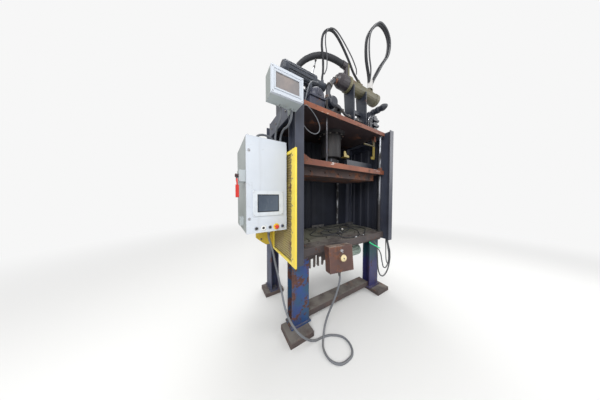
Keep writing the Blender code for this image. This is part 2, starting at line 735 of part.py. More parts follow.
# Guide rods between bed and crown
guides = {"front_left": (-FRONT_ROD_X, FRONT_ROD_Y), "front_right": (FRONT_ROD_X, FRONT_ROD_Y),
          "rear_left": (-REAR_ROD_X, REAR_ROD_Y), "rear_right": (REAR_ROD_X, REAR_ROD_Y)}
rod_low, rod_high = BED_TOP + SEAT, CROWN_BOTTOM - SEAT
for name, (x, y) in guides.items():
    piece(f"guide_rod_{name}", (CHROME, 0.25, 1.0),
          turned([(0, rod_low), (ROD_COLLAR, rod_low), (ROD_COLLAR, rod_low + ROD_COLLAR_THICK),
                  (ROD_RADIUS, rod_low + ROD_COLLAR_THICK), (ROD_RADIUS, rod_high - ROD_COLLAR_THICK),
                  (ROD_COLLAR, rod_high - ROD_COLLAR_THICK), (ROD_COLLAR, rod_high), (0, rod_high)], (x, y,
                                                                                                      0)))

# Main cylinder and the ram that drives the platen
barrel_low, barrel_high = CROWN_BOTTOM - BARREL_BELOW, CROWN_TOP + BARREL_ABOVE
flange_high = CROWN_BOTTOM - SEAT
flange_low = flange_high - BARREL_FLANGE_THICK
bore_top = barrel_high - BARREL_CAP
port = rod(0.028, -BARREL_RADIUS - 0.035, -BARREL_RADIUS + 0.02, (0, RAM_Y, barrel_high - 0.09), "Y", 16)
piece("main_cylinder", ((0.10, 0.07, 0.06), 0.6),
      turned([(BARREL_BORE, barrel_low), (BARREL_RADIUS - 0.01, barrel_low), (BARREL_RADIUS,
                                                                              barrel_low + 0.01),
              (BARREL_RADIUS, flange_low), (BARREL_FLANGE, flange_low), (BARREL_FLANGE, flange_high),
              (BARREL_RADIUS, flange_high), (BARREL_RADIUS, barrel_high - 0.02), (BARREL_RADIUS - 0.02,
                                                                                  barrel_high),
              (0.0001, barrel_high), (0.0001, bore_top), (BARREL_BORE, bore_top)], (0, RAM_Y, 0), steps=24),
      add=[port])
ram_low = PLATEN_TOP + SEAT
piece("ram", (CHROME, 0.2, 1.0),
      turned([(0, ram_low), (RAM_FOOT, ram_low), (RAM_FOOT, ram_low + RAM_FOOT_THICK),
              (RAM_RADIUS, ram_low + RAM_FOOT_THICK), (RAM_RADIUS, bore_top - RAM_HEAD_SPACE),
              (0, bore_top - RAM_HEAD_SPACE)], (0, RAM_Y, 0), steps=24))

# Platen with its bushings and gusset, the hot plate under it and what rides on it
bushing = ROD_RADIUS + RUNNING + BUSHING_WALL
half_platen = INSIDE - SLIDING
bushings = together([rod(bushing, PLATEN_TOP - 0.01, PLATEN_TOP + BUSHING_HEIGHT, (x, y, 0))
                     for x, y in guides.values()])
rod_holes = together([rod(ROD_RADIUS + RUNNING, PLATEN_BOTTOM - 0.02, PLATEN_TOP + BUSHING_HEIGHT + 0.02, (x,
                                                                                                           y,
                                                                                                           0))
                      for x, y in guides.values()])
gusset_y = FRONT_ROD_Y + bushing + 0.012
gusset = prism([(-half_platen + 0.004, PLATEN_TOP - 0.01), (-half_platen + GUSSET_LENGTH, PLATEN_TOP - 0.01),
                (-half_platen + GUSSET_LENGTH, PLATEN_TOP + 0.004), (-half_platen + 0.03,
                                                                     PLATEN_TOP + GUSSET_HEIGHT),
                (-half_platen + 0.004, PLATEN_TOP + GUSSET_HEIGHT)], "xz", gusset_y, gusset_y + GUSSET_THICK)
piece("platen", (RUST, 0.7),
      box((-half_platen, BED_FRONT, PLATEN_BOTTOM), (half_platen, PLATEN_BACK, PLATEN_TOP)),
      add=[bushings, gusset], cut=[rod_holes])
hot_high = PLATEN_BOTTOM - SEAT
heater_pitch = HOT_WIDTH / HEATER_COUNT
piece("heated_platen", ((0.15, 0.09, 0.07), 0.7),
      box((-HOT_WIDTH / 2, HOT_FRONT, hot_high - HOT_THICK), (HOT_WIDTH / 2, HOT_BACK, hot_high)),
      cut=[together([rod(HEATER_RADIUS, -0.02, HEATER_DEPTH,
                         ((k - (HEATER_COUNT - 1) / 2) * heater_pitch, HOT_FRONT, hot_high - HOT_THICK / 2),
                         "Y", 12)
                     for k in range(HEATER_COUNT)])])
piece("trip_rod", (CHROME, 0.3, 1.0),
      turned([(0, ram_low), (TRIP_FOOT, ram_low), (TRIP_FOOT, ram_low + 0.012), (TRIP_RADIUS,
                                                                                 ram_low + 0.012),
              (TRIP_RADIUS, TRIP_TOP - 0.004), (TRIP_RADIUS - 0.004, TRIP_TOP), (0, TRIP_TOP)],
             (TRIP_X, TRIP_Y, 0), steps=16))
packer_back = PACKER_Y + PACKER_DEPTH
wall = 0.009
packer = [(packer_back, ram_low), (packer_back, ram_low + wall), (PACKER_Y + wall, ram_low + wall),
          (PACKER_Y + wall, ram_low + PACKER_HEIGHT - wall), (packer_back, ram_low + PACKER_HEIGHT - wall),
          (packer_back, ram_low + PACKER_HEIGHT), (PACKER_Y, ram_low + PACKER_HEIGHT), (PACKER_Y, ram_low)]
piece("platen_bar", ((0.11, 0.11, 0.12), 0.7), prism(packer, "yz", PACKER_LEFT, PACKER_RIGHT),
      add=[together([box((x, PACKER_Y + wall / 2, ram_low + wall / 2),
                         (x + wall, packer_back - 0.004, ram_low + PACKER_HEIGHT - wall / 2))
                     for x in (PACKER_LEFT + 0.02, (PACKER_LEFT + PACKER_RIGHT) / 2, PACKER_RIGHT - 0.03)])])

# Guards: pierced sheet on the left, folded curtain behind, ribbed panel on the right
guard_right = -HALF - SEAT
guard_left = guard_right - GUARD_THICK + SEAT
sheet_face = guard_right - GUARD_SHEET
field = (GUARD_FRONT + GUARD_STRIP, GUARD_BACK - GUARD_BORDER, GUARD_BOTTOM + GUARD_BORDER,
         GUARD_TOP - GUARD_BORDER)
cell_y = (field[1] - field[0]) / GUARD_CELLS_Y
cell_z = (field[3] - field[2]) / GUARD_CELLS_Z
holes = []
for i in range(GUARD_CELLS_Y):
    for k in range(GUARD_CELLS_Z):
        y = field[0] + (i + 0.5) * cell_y
        z = field[2] + (k + 0.5) * cell_z
        a, b = (cell_y - GUARD_BAR) / 2, (cell_z - GUARD_BAR) / 2
        holes.append(prism([(y - a, z), (y, z - b), (y + a, z), (y, z + b)], "yz", sheet_face - 0.01,
                           guard_right + 0.01))
piece("left_guard", (YELLOW, 0.5),
      box((guard_left, GUARD_FRONT, GUARD_BOTTOM), (guard_right, GUARD_BACK, GUARD_TOP)),
      cut=[box((guard_left - 0.02, field[0], field[2]), (sheet_face, field[1], field[3])), together(holes)])

half_curtain = INSIDE - SLIDING
curtain = []
folds = round(half_curtain / CURTAIN_PITCH) * 2
for k in range(folds + 1):
    x = -half_curtain + k * half_curtain / folds
    curtain.append((x, CURTAIN_Y + (CURTAIN_FOLD if k % 2 else -CURTAIN_FOLD) - CURTAIN_THICK / 2))
curtain.append((half_curtain, CURTAIN_Y - CURTAIN_FOLD - CURTAIN_THICK / 2))
curtain += [(x, y + CURTAIN_THICK) for x, y in reversed(curtain)]
piece("rear_curtain", ((0.04, 0.05, 0.08), 0.6), prism(curtain, "xy", BED_TOP + SEAT, CROWN_BOTTOM - SEAT))

panel_front, panel_back = POST_DEPTH + SLIDING / 2, REAR_POST_Y - SLIDING / 2
ribs = []
count = int((panel_back - panel_front) / RIGHT_GUARD_PITCH)
step = (panel_back - panel_front) / count
for k in range(count):
    y = panel_front + k * step
    ribs += [(RIGHT_GUARD_X, y), (RIGHT_GUARD_X, y + step * 0.45),
             (RIGHT_GUARD_X - RIGHT_GUARD_RIB, y + step * 0.55), (RIGHT_GUARD_X - RIGHT_GUARD_RIB,
                                                                  y + step * 0.9)]
ribs.append((RIGHT_GUARD_X, panel_back))
ribs += [(x + RIGHT_GUARD_THICK, y) for x, y in reversed(ribs)]
piece("right_guard", ((0.03, 0.04, 0.09), 0.6),
      prism(ribs, "xy", BED_TOP + SEAT, CROWN_TOP - SIDE_BEAM_DEPTH))

# Safety latch hung from the crown
hook_low = LATCH_PIN_Z - LATCH_LENGTH
half_hook = LATCH_WIDTH / 2
hook = [(LATCH_X - half_hook * 0.7, LATCH_PIN_Z + half_hook * 0.7), (LATCH_X - half_hook, LATCH_PIN_Z),
        (LATCH_X - half_hook, hook_low + 0.05), (LATCH_X - half_hook - 0.045, hook_low + 0.035),
        (LATCH_X - half_hook - 0.045, hook_low), (LATCH_X + half_hook * 0.5, hook_low),
        (LATCH_X + half_hook, hook_low + 0.03), (LATCH_X + half_hook, LATCH_PIN_Z),
        (LATCH_X + half_hook * 0.7, LATCH_PIN_Z + half_hook * 0.7)]
latch_pivot = (LATCH_X, LATCH_Y, LATCH_PIN_Z)
handle_right = LATCH_X - half_hook + 0.006
latch_bar = turned([(0, handle_right - LATCH_HANDLE), (LATCH_HANDLE_RADIUS * 0.7,
                                                       handle_right - LATCH_HANDLE),
                    (LATCH_HANDLE_RADIUS, handle_right - LATCH_HANDLE + 0.005), (LATCH_HANDLE_RADIUS,
                                                                                 handle_right),
                    (0, handle_right)], (0, LATCH_Y, LATCH_HANDLE_Z), "X", 16)
piece("latch_hook", (YELLOW, 0.5),
      prism(hook, "xz", LATCH_Y - LATCH_THICK / 2, LATCH_Y + LATCH_THICK / 2), add=[latch_bar],
      cut=[rod(LATCH_PIN_RADIUS + 0.0008, -LATCH_THICK, LATCH_THICK, latch_pivot, "Y", 16)],
      pivot=latch_pivot)

# Control cabinet
look = ((0.55, 0.58, 0.58), 0.5)
switch_left = CABINET_LEFT - SWITCH_BOX_PROUD
extras = together([
    box((switch_left, SWITCH_BOX_Y, SWITCH_BOX_Z - SWITCH_BOX_HEIGHT / 2),
        (CABINET_LEFT + CABINET_WALL / 2, SWITCH_BOX_Y + SWITCH_BOX_LENGTH,
         SWITCH_BOX_Z + SWITCH_BOX_HEIGHT / 2)),
    box((CABINET_LEFT - 0.038, 0.30, 1.262), (CABINET_LEFT + CABINET_WALL / 2, 0.39, 1.345)),
    rod(0.016, CABINET_BOTTOM - 0.020, CABINET_BOTTOM + CABINET_WALL / 2, (LEAD_GLAND_X, 0.185, 0), steps=12),
    rod(0.016, CABINET_TOP - CABINET_WALL / 2, CABINET_TOP + 0.014, (TOP_GLANDS_X[0], TOP_GLAND_Y, 0), steps=12),
    rod(0.016, CABINET_TOP - CABINET_WALL / 2, CABINET_TOP + 0.014, (TOP_GLANDS_X[1], TOP_GLAND_Y, 0), steps=12),
    rod(0.019, CABINET_TOP - CABINET_WALL / 2, CABINET_TOP + 0.014, (CABINET_LEFT + 0.122, 0.300, 0), steps=12),
    rod(0.019, CABINET_TOP - CABINET_WALL / 2, CABINET_TOP + 0.014, (CABINET_RIGHT - 0.060, 0.330, 0), steps=12),
])
inside = (CABINET_LEFT + CABINET_WALL, CABINET_RIGHT - CABINET_WALL, CABINET_BACK - CABINET_WALL,
          CABINET_BOTTOM + CABINET_WALL, CABINET_TOP - CABINET_WALL)
piece("cabinet_body", look,
      box((CABINET_LEFT, CABINET_SHELL, CABINET_BOTTOM), (CABINET_RIGHT, CABINET_BACK, CABINET_TOP)),
      add=[extras],
      cut=[box((inside[0], CABINET_SHELL - 0.05, inside[3]), (inside[1], inside[2], inside[4]))])

plate_back = inside[2] - SEAT
plate_front = plate_back - 0.030
rail = together([box((CABINET_LEFT + PANEL_INSET + 0.02, plate_front - 0.012, z),
                     (CABINET_RIGHT - PANEL_INSET - 0.02, plate_front + PANEL_THICK / 2, z + 0.035))
                 for z in (1.45, 1.65, 1.85)])
modules = together([box((CABINET_LEFT + PANEL_INSET + 0.03 + k * 0.055, plate_front - 0.075, z - 0.025),
                        (CABINET_LEFT + PANEL_INSET + 0.075 + k * 0.055, plate_front - 0.006, z + 0.060))
                    for k in range(4) for z in (1.45, 1.65, 1.85)])
spacers = together([box((x - 0.012, plate_front + PANEL_THICK / 2, z - 0.012), (x + 0.012, plate_back,
                                                                                z + 0.012))
                    for x in (CABINET_LEFT + PANEL_INSET + 0.02, CABINET_RIGHT - PANEL_INSET - 0.02)
                    for z in (CABINET_BOTTOM + PANEL_INSET + 0.02, CABINET_TOP - PANEL_INSET - 0.02)])
piece("mounting_panel", ((0.62, 0.63, 0.62), 0.5),
      box((CABINET_LEFT + PANEL_INSET, plate_front, CABINET_BOTTOM + PANEL_INSET),
          (CABINET_RIGHT - PANEL_INSET, plate_front + PANEL_THICK, CABINET_TOP - PANEL_INSET)),
      add=[rail, modules, spacers])

# Door with its screen, buttons and key
door_back = CABINET_FRONT + DOOR_THICK
door_pivot = (CABINET_RIGHT, CABINET_FRONT, CABINET_BOTTOM + CABINET_HEIGHT / 2)
controls = [CABINET_LEFT + CONTROL_FIRST_X + k * CONTROL_PITCH for k in range(5)]
face = CABINET_FRONT + DOOR_FOLD / 2
stop_x, key_x = controls[3], controls[4]
collars = together(
    [rod(COLLAR_RADIUS, -COLLAR_PROUD, DOOR_FOLD / 2, (x, CABINET_FRONT, CONTROL_Z),
         "Y") for x in (*controls[:3], key_x)]
    + [rod(STOP_PLATE, -0.002, DOOR_FOLD / 2, (stop_x, CABINET_FRONT, CONTROL_Z), "Y")])
hole_radius = BUTTON_RADIUS + BUTTON_GAP
screen_x, screen_z = CABINET_MIDDLE + HMI_CENTRE_X, HMI_CENTRE_Z
rear_w, rear_h, rear_d = HMI_WIDTH - 0.04, HMI_HEIGHT - 0.04, 0.045
door_cuts = [
    box((CABINET_LEFT + DOOR_FOLD, CABINET_FRONT + DOOR_FOLD, CABINET_BOTTOM + DOOR_FOLD),
        (CABINET_RIGHT - DOOR_FOLD, door_back + 0.02, CABINET_TOP - DOOR_FOLD)),
    together([rod(hole_radius, -0.02, 0.03, (x, CABINET_FRONT, CONTROL_Z), "Y") for x in controls]
             + [box((screen_x - rear_w / 2, CABINET_FRONT - 0.02, screen_z - rear_h / 2),
                    (screen_x + rear_w / 2, CABINET_FRONT + 0.01, screen_z + rear_h / 2))]),
]
piece("cabinet_door", ((0.66, 0.69, 0.72), 0.45),
      box((CABINET_LEFT, CABINET_FRONT, CABINET_BOTTOM), (CABINET_RIGHT, door_back, CABINET_TOP)),
      add=[collars], cut=door_cuts, pivot=door_pivot)
hmi_back = CABINET_FRONT - SEAT
hmi_front = hmi_back - HMI_PROUD
piece("hmi_panel", ((0.72, 0.74, 0.76), 0.4),
      box((screen_x - HMI_WIDTH / 2, hmi_front, screen_z - HMI_HEIGHT / 2),
          (screen_x + HMI_WIDTH / 2, hmi_back, screen_z + HMI_HEIGHT / 2)),
      add=[box((screen_x - rear_w / 2 + 0.001, hmi_back - 0.004, screen_z - rear_h / 2 + 0.001),
               (screen_x + rear_w / 2 - 0.001, hmi_back + rear_d, screen_z + rear_h / 2 - 0.001))],
      cut=[box((screen_x - SCREEN_WIDTH / 2, hmi_front - 0.02, screen_z - SCREEN_HEIGHT / 2),
               (screen_x + SCREEN_WIDTH / 2, hmi_front + SCREEN_RECESS, screen_z + SCREEN_HEIGHT / 2))],
      pivot=door_pivot)


def button(name, look, x, cap, proud, plunger=BUTTON_RADIUS, travel=BUTTON_TRAVEL):
    """A push button whose plunger slides in the door; a wider head stops short of the face."""
    front = -COLLAR_PROUD - proud
    neck = -COLLAR_PROUD - travel - 0.001 if cap > plunger else front
    profile = [(0, front), (cap * 0.8, front), (cap, front + 0.003)]
    if cap > plunger:
        profile += [(cap, neck - 0.001), (plunger, neck)]
    profile += [(plunger, 0.012), (0, 0.012)]
    piece(name, look, turned(profile, (x, CABINET_FRONT, CONTROL_Z), "Y"), pivot=(x, CABINET_FRONT,
                                                                                  CONTROL_Z))


button("black_button", (BLACK, 0.4), controls[0], BUTTON_RADIUS, BUTTON_PROUD - COLLAR_PROUD)
button("ringed_button", ((0.75, 0.75, 0.72), 0.4), controls[1], BUTTON_RADIUS, BUTTON_PROUD - COLLAR_PROUD)
button("second_black_button", (BLACK, 0.4), controls[2], BUTTON_RADIUS, BUTTON_PROUD - COLLAR_PROUD)
button("estop_button", ((0.70, 0.06, 0.03), 0.35), stop_x, STOP_RADIUS, STOP_PROUD - COLLAR_PROUD,
       BUTTON_RADIUS, STOP_TRAVEL)
key_pivot = (key_x, CABINET_FRONT, CONTROL_Z)
piece("key_switch", ((0.10, 0.12, 0.20), 0.35),
      turned([(0, -BUTTON_PROUD), (BUTTON_RADIUS, -BUTTON_PROUD), (BUTTON_RADIUS, 0.012), (0, 0.012)],
             key_pivot, "Y"),
      add=[box((key_x - 0.0035, CABINET_FRONT - KNOB_PROUD, CONTROL_Z - KNOB_RADIUS * 0.85),
               (key_x + 0.0035, CABINET_FRONT - BUTTON_PROUD + 0.003, CONTROL_Z + KNOB_RADIUS * 0.85))],
      pivot=key_pivot)

# Main switch handle on the cabinet's side
hub_right = switch_left - SEAT
hub_left = hub_right - HANDLE_PROUD
handle_pivot = (hub_right, HANDLE_PIVOT_Y, HANDLE_PIVOT_Z)
blade = prism([(HANDLE_PIVOT_Y - 0.011, HANDLE_PIVOT_Z + 0.006), (HANDLE_PIVOT_Y + 0.011, HANDLE_PIVOT_Z),
               (HANDLE_PIVOT_Y + 0.006, HANDLE_PIVOT_Z - 0.045), (GRIP_Y + 0.012, GRIP_TOP + 0.010),
               (GRIP_Y + 0.012, GRIP_TOP - GRIP_LENGTH + 0.010), (GRIP_Y - 0.012,
                                                                  GRIP_TOP - GRIP_LENGTH + 0.010),
               (GRIP_Y - 0.012, GRIP_TOP + 0.020)], "yz", hub_left + 0.008, hub_left + 0.008 + HANDLE_BLADE)
grip = prism([(GRIP_Y - GRIP_WIDTH / 2, GRIP_TOP - 0.008), (GRIP_Y - GRIP_WIDTH / 2 + 0.006, GRIP_TOP),
              (GRIP_Y + GRIP_WIDTH / 2 - 0.006, GRIP_TOP), (GRIP_Y + GRIP_WIDTH / 2, GRIP_TOP - 0.008),
              (GRIP_Y + GRIP_WIDTH / 2 - 0.003, GRIP_TOP - GRIP_LENGTH + 0.006),
              (GRIP_Y + GRIP_WIDTH / 2 - 0.009, GRIP_TOP - GRIP_LENGTH),
              (GRIP_Y - GRIP_WIDTH / 2 + 0.006, GRIP_TOP - GRIP_LENGTH),
              (GRIP_Y - GRIP_WIDTH / 2, GRIP_TOP - GRIP_LENGTH + 0.008)], "yz", hub_left, hub_left + 0.026)
piece("disconnect_handle", ((0.60, 0.04, 0.03), 0.4),
      turned([(0, -HANDLE_PROUD), (HANDLE_HUB - 0.004, -HANDLE_PROUD), (HANDLE_HUB, -HANDLE_PROUD + 0.006),
              (HANDLE_HUB, 0), (0, 0)], handle_pivot, "X"),
      add=[blade, grip], pivot=handle_pivot)

# Yellow carrier that holds the cabinet off the left side frame
arm_top = CABINET_BOTTOM - SEAT
support_back = SUPPORT_POST_Y + SUPPORT_POST_DEPTH
piece("cabinet_support", (YELLOW, 0.55),
      box((SUPPORT_LEFT, SUPPORT_POST_Y, FRAME_FOOT + 0.01), (SUPPORT_RIGHT, support_back, SUPPORT_TOP)),
      add=[box((SUPPORT_LEFT, SUPPORT_RAIL_FRONT, GUARD_TOP + 0.017),
               (SUPPORT_RIGHT, support_back - 0.004, GUARD_TOP + 0.017 + SUPPORT_RAIL_HEIGHT)),
           prism([(SUPPORT_RIGHT - 0.008, arm_top - SUPPORT_ARM_HEIGHT), (SUPPORT_RIGHT - 0.008, arm_top),
                  (SUPPORT_LEFT - SUPPORT_ARM, arm_top), (SUPPORT_LEFT - SUPPORT_ARM, arm_top - 0.035)],
                 "xz", SUPPORT_POST_Y + 0.008, support_back - 0.008)])

# Window box on the left post
bracket = box((SUPPORT_LEFT + 0.018, WINDOW_BOX_BACK - 0.006, WINDOW_BOX_BOTTOM + 0.04),
              (SUPPORT_RIGHT, POST_DEPTH - 0.002, WINDOW_BOX_BOTTOM + 0.04 + WINDOW_BACKING_HEIGHT))
glands = together([rod(0.016, WINDOW_BOX_BOTTOM - 0.014, WINDOW_BOX_BOTTOM + WINDOW_BOX_WALL / 2, (x, y, 0),
                       steps=12)
                   for x, y in ((x, BOX_GLAND_Y) for x in BOX_GLANDS_X)])
w = WINDOW_BOX_WALL
piece("junction_box", ((0.60, 0.64, 0.68), 0.5),
      box((WINDOW_BOX_LEFT, WINDOW_BOX_FRONT, WINDOW_BOX_BOTTOM), (WINDOW_BOX_RIGHT, WINDOW_BOX_BACK,
                                                                   WINDOW_BOX_TOP)),
      add=[bracket, glands],
      cut=[box((WINDOW_BOX_LEFT + w, WINDOW_BOX_FRONT - 0.02, WINDOW_BOX_BOTTOM + w),
               (WINDOW_BOX_RIGHT - w, WINDOW_BOX_BACK - w, WINDOW_BOX_TOP - w))])
lid_back = WINDOW_BOX_FRONT - SEAT
lid_pivot = (WINDOW_BOX_LEFT, LID_FRONT, WINDOW_BOX_BOTTOM + WINDOW_BOX_HEIGHT / 2)
mid_x = (WINDOW_BOX_LEFT + WINDOW_BOX_RIGHT) / 2
mid_z = WINDOW_BOX_BOTTOM + WINDOW_BOX_HEIGHT / 2
v = LID_WALL
recess = LID_FRONT + 0.003
piece("junction_lid", ((0.66, 0.69, 0.72), 0.45),
      box((WINDOW_BOX_LEFT, LID_FRONT, WINDOW_BOX_BOTTOM), (WINDOW_BOX_RIGHT, lid_back, WINDOW_BOX_TOP)),
      cut=[box((WINDOW_BOX_LEFT + v, recess + v, WINDOW_BOX_BOTTOM + v),
               (WINDOW_BOX_RIGHT - v, lid_back + 0.02, WINDOW_BOX_TOP - v)),
           box((WINDOW_BOX_LEFT + 0.022, LID_FRONT - 0.02, WINDOW_BOX_BOTTOM + 0.022),
               (WINDOW_BOX_RIGHT - 0.022, recess, WINDOW_BOX_TOP - 0.022)),
           box((mid_x - WINDOW_WIDTH / 2, recess - 0.02, mid_z - WINDOW_HEIGHT / 2),
               (mid_x + WINDOW_WIDTH / 2, recess + v + 0.02, mid_z + WINDOW_HEIGHT / 2))],
      pivot=lid_pivot)
pane_front = recess + v + SEAT
piece("junction_window", ((0.42, 0.38, 0.34), 0.15),
      box((mid_x - WINDOW_WIDTH / 2 - 0.012, pane_front, mid_z - WINDOW_HEIGHT / 2 - 0.012),
          (mid_x + WINDOW_WIDTH / 2 + 0.012, pane_front + PANE_THICK, mid_z + WINDOW_HEIGHT / 2 + 0.012)),
      pivot=lid_pivot)

# Push-button station hung on the bed's front, leaning and turned as it hangs
station_turn = (Matrix.Translation((STATION_X, STATION_Y, STATION_MIDDLE))
                @ Matrix.Rotation(math.radians(STATION_YAW), 4, "Z")
                @ Matrix.Rotation(math.radians(STATION_LEAN), 4, "X"))


def on_station(shape):
    bmesh.ops.transform(shape, matrix=station_turn, verts=shape.verts[:])
    return shape


half_w, half_h, half_d = STATION_WIDTH / 2, STATION_HEIGHT / 2, STATION_DEPTH / 2
palm_z, selector_z = half_h - PALM_DROP, half_h - SELECTOR_DROP
palm_x = 0.012
e = STATION_EDGE
shell = prism([(-half_d, -half_h + e), (-half_d + e, -half_h), (half_d - e, -half_h), (half_d, -half_h + e),
               (half_d, half_h - e), (half_d - e, half_h), (-half_d + e, half_h), (-half_d, half_h - e)],
              "yz", -half_w, half_w)
rings = together([on_station(rod(PALM_RING, -half_d - 0.006, -half_d + 0.004, (palm_x, 0, palm_z), "Y")),
                  on_station(rod(SELECTOR_RADIUS, -half_d - 0.005, -half_d + 0.004, (0, 0, selector_z), "Y")),
                  on_station(rod(0.017, -half_h - 0.018, -half_h + 0.004, (-0.012, 0, 0), "Z", 12))])
wells = together([on_station(rod(0.0155, -half_d - 0.02, -half_d + 0.034, (palm_x, 0, palm_z), "Y")),
                  on_station(rod(0.0125, -half_d - 0.02, -half_d + 0.034, (0, 0, selector_z), "Y"))])
arms = together([box((STATION_X + x - ARM_WIDTH / 2, STATION_Y, BED_BOTTOM + 0.015),
                     (STATION_X + x + ARM_WIDTH / 2, BED_FRONT - SEAT, BED_BOTTOM + 0.015 + ARM_THICK))
                 for x in (-0.085, 0.085)])
piece("station_box", ((0.24, 0.13, 0.09), 0.65), on_station(shell), add=[rings, arms], cut=[wells])
palm_pivot = station_turn @ Vector((palm_x, -half_d, palm_z))
palm = turned([(0, -PALM_PROUD), (PALM_RADIUS * 0.55, -PALM_PROUD), (PALM_RADIUS * 0.9, -PALM_PROUD + 0.006),
               (PALM_RADIUS, -PALM_PROUD + 0.014), (PALM_RADIUS * 0.92, -0.006 - PALM_TRAVEL - 0.002),
               (0.0145, -0.006 - PALM_TRAVEL - 0.001), (0.0145, 0.026), (0, 0.026)],
              (palm_x, -half_d, palm_z), "Y")
piece("palm_button", ((0.78, 0.68, 0.42), 0.4), on_station(palm), pivot=tuple(palm_pivot))
selector_pivot = station_turn @ Vector((0, -half_d, selector_z))
dial = turned([(0, -0.014), (0.014, -0.014), (0.015, -0.0055), (0.0115, -0.0054), (0.0115, 0.026), (0,
                                                                                                    0.026)],
              (0, -half_d, selector_z), "Y")
lever = box((-0.004, -half_d - SELECTOR_PROUD, selector_z - 0.015), (0.004, -half_d - 0.010,
                                                                     selector_z + 0.015))
piece("station_selector", ((0.55, 0.55, 0.56), 0.3, 0.8), on_station(dial), add=[on_station(lever)],
      pivot=tuple(selector_pivot))

# Oil tank with its lid, filler and suction port
lid_low = TANK_TOP - TANK_LID
lip = TANK_LID_LIP
suction_at = (TANK_LEFT + 0.200, TANK_BACK - 0.200)
tank_extras = together([
    rod(0.045, TANK_TOP - 0.005, TANK_TOP + 0.035, (*suction_at, 0)),
    turned([(0, TANK_TOP - 0.005), (0.024, TANK_TOP - 0.005), (0.024, TANK_TOP + 0.03), (0.034,
                                                                                         TANK_TOP + 0.03),
            (0.034, TANK_TOP + 0.06), (0, TANK_TOP + 0.06)], (TANK_RIGHT - 0.10, TANK_BACK - 0.09, 0), steps=16),
])
piece("reservoir", (DARK, 0.6),
      box((TANK_LEFT + lip, TANK_FRONT + lip, TANK_BOTTOM), (TANK_RIGHT - lip, TANK_BACK - lip,
                                                             lid_low + 0.004)),
      add=[box((TANK_LEFT, TANK_FRONT, lid_low), (TANK_RIGHT, TANK_BACK, TANK_TOP)), tank_extras,
           together([rod(0.085, TANK_FRONT + lip - 0.010, TANK_FRONT + lip + 0.01, (TANK_LEFT + 0.18, 0, TANK_BOTTOM + 0.145), "Y"),
                     box((TANK_LEFT + 0.38, TANK_FRONT + lip - 0.008, TANK_BOTTOM + 0.065),
                         (TANK_LEFT + 0.405, TANK_FRONT + lip + 0.01, TANK_BOTTOM + 0.235))])])


def finned(radius, fins, fin, centre):
    """The outline of a finned motor body round a centre."""
    points = []
    for k in range(fins):
        for turn, reach in ((0.0, 0.0), (0.30, 0.0), (0.42, fin), (0.88, fin)):
            angle = 2 * math.pi * (k + turn) / fins
            points.append((centre[0] + (radius + reach) * math.cos(angle),
                           centre[1] + (radius + reach) * math.sin(angle)))
    return points


foot_low = TANK_TOP + SEAT
bell = MOTOR_RADIUS + MOTOR_FIN
piece("side_motor", ((0.40, 0.42, 0.44), 0.5),
      prism(finned(MOTOR_RADIUS, MOTOR_FINS, MOTOR_FIN, (MOTOR_Y, MOTOR_Z)), "yz", MOTOR_LEFT + 0.06,
            MOTOR_RIGHT - 0.04),
      add=[turned([(0, MOTOR_LEFT), (bell * 0.8, MOTOR_LEFT), (bell, MOTOR_LEFT + 0.02), (bell,
                                                                                          MOTOR_LEFT + 0.065),
                   (0, MOTOR_LEFT + 0.065)], (0, MOTOR_Y, MOTOR_Z), "X"),
           turned([(0, MOTOR_RIGHT - 0.045), (bell, MOTOR_RIGHT - 0.045), (bell, MOTOR_RIGHT), (HEAD_RADIUS,
                                                                                                MOTOR_RIGHT),
                   (HEAD_RADIUS, HEAD_RIGHT - 0.012), (HEAD_RADIUS - 0.012, HEAD_RIGHT), (0, HEAD_RIGHT)],
                  (0, MOTOR_Y, MOTOR_Z), "X"),
           together([box((x, MOTOR_Y - MOTOR_FOOT / 2, foot_low), (x + 0.03, MOTOR_Y + MOTOR_FOOT / 2,
                                                                   MOTOR_Z - MOTOR_RADIUS * 0.6))
                     for x in (MOTOR_LEFT + 0.09, MOTOR_RIGHT - 0.10)]),
           rod(0.022, HEAD_RADIUS * 0.6, HEAD_RADIUS + 0.030, (HEAD_RIGHT - 0.047, MOTOR_Y, MOTOR_Z), steps=16)])

pump_back = TANK_FRONT + TANK_LID_LIP - SEAT
piece("gear_pump", (DARK, 0.55),
      turned([(0, -PUMP_LENGTH), (PUMP_RADIUS * 0.55, -PUMP_LENGTH), (PUMP_RADIUS * 0.7,
                                                                      -PUMP_LENGTH + 0.015),
              (PUMP_RADIUS * 0.7, -PUMP_LENGTH + 0.075), (PUMP_RADIUS * 0.9, -PUMP_LENGTH + 0.085),
              (PUMP_RADIUS * 0.9, -0.035), (PUMP_RADIUS, -0.030), (PUMP_RADIUS, 0), (0, 0)],
             (PUMP_X, pump_back, PUMP_Z), "Y"),
      add=[rod(0.024, PUMP_RADIUS * 0.4, PUMP_RADIUS + 0.035, (PUMP_X, pump_back - 0.070, PUMP_Z), steps=16)])

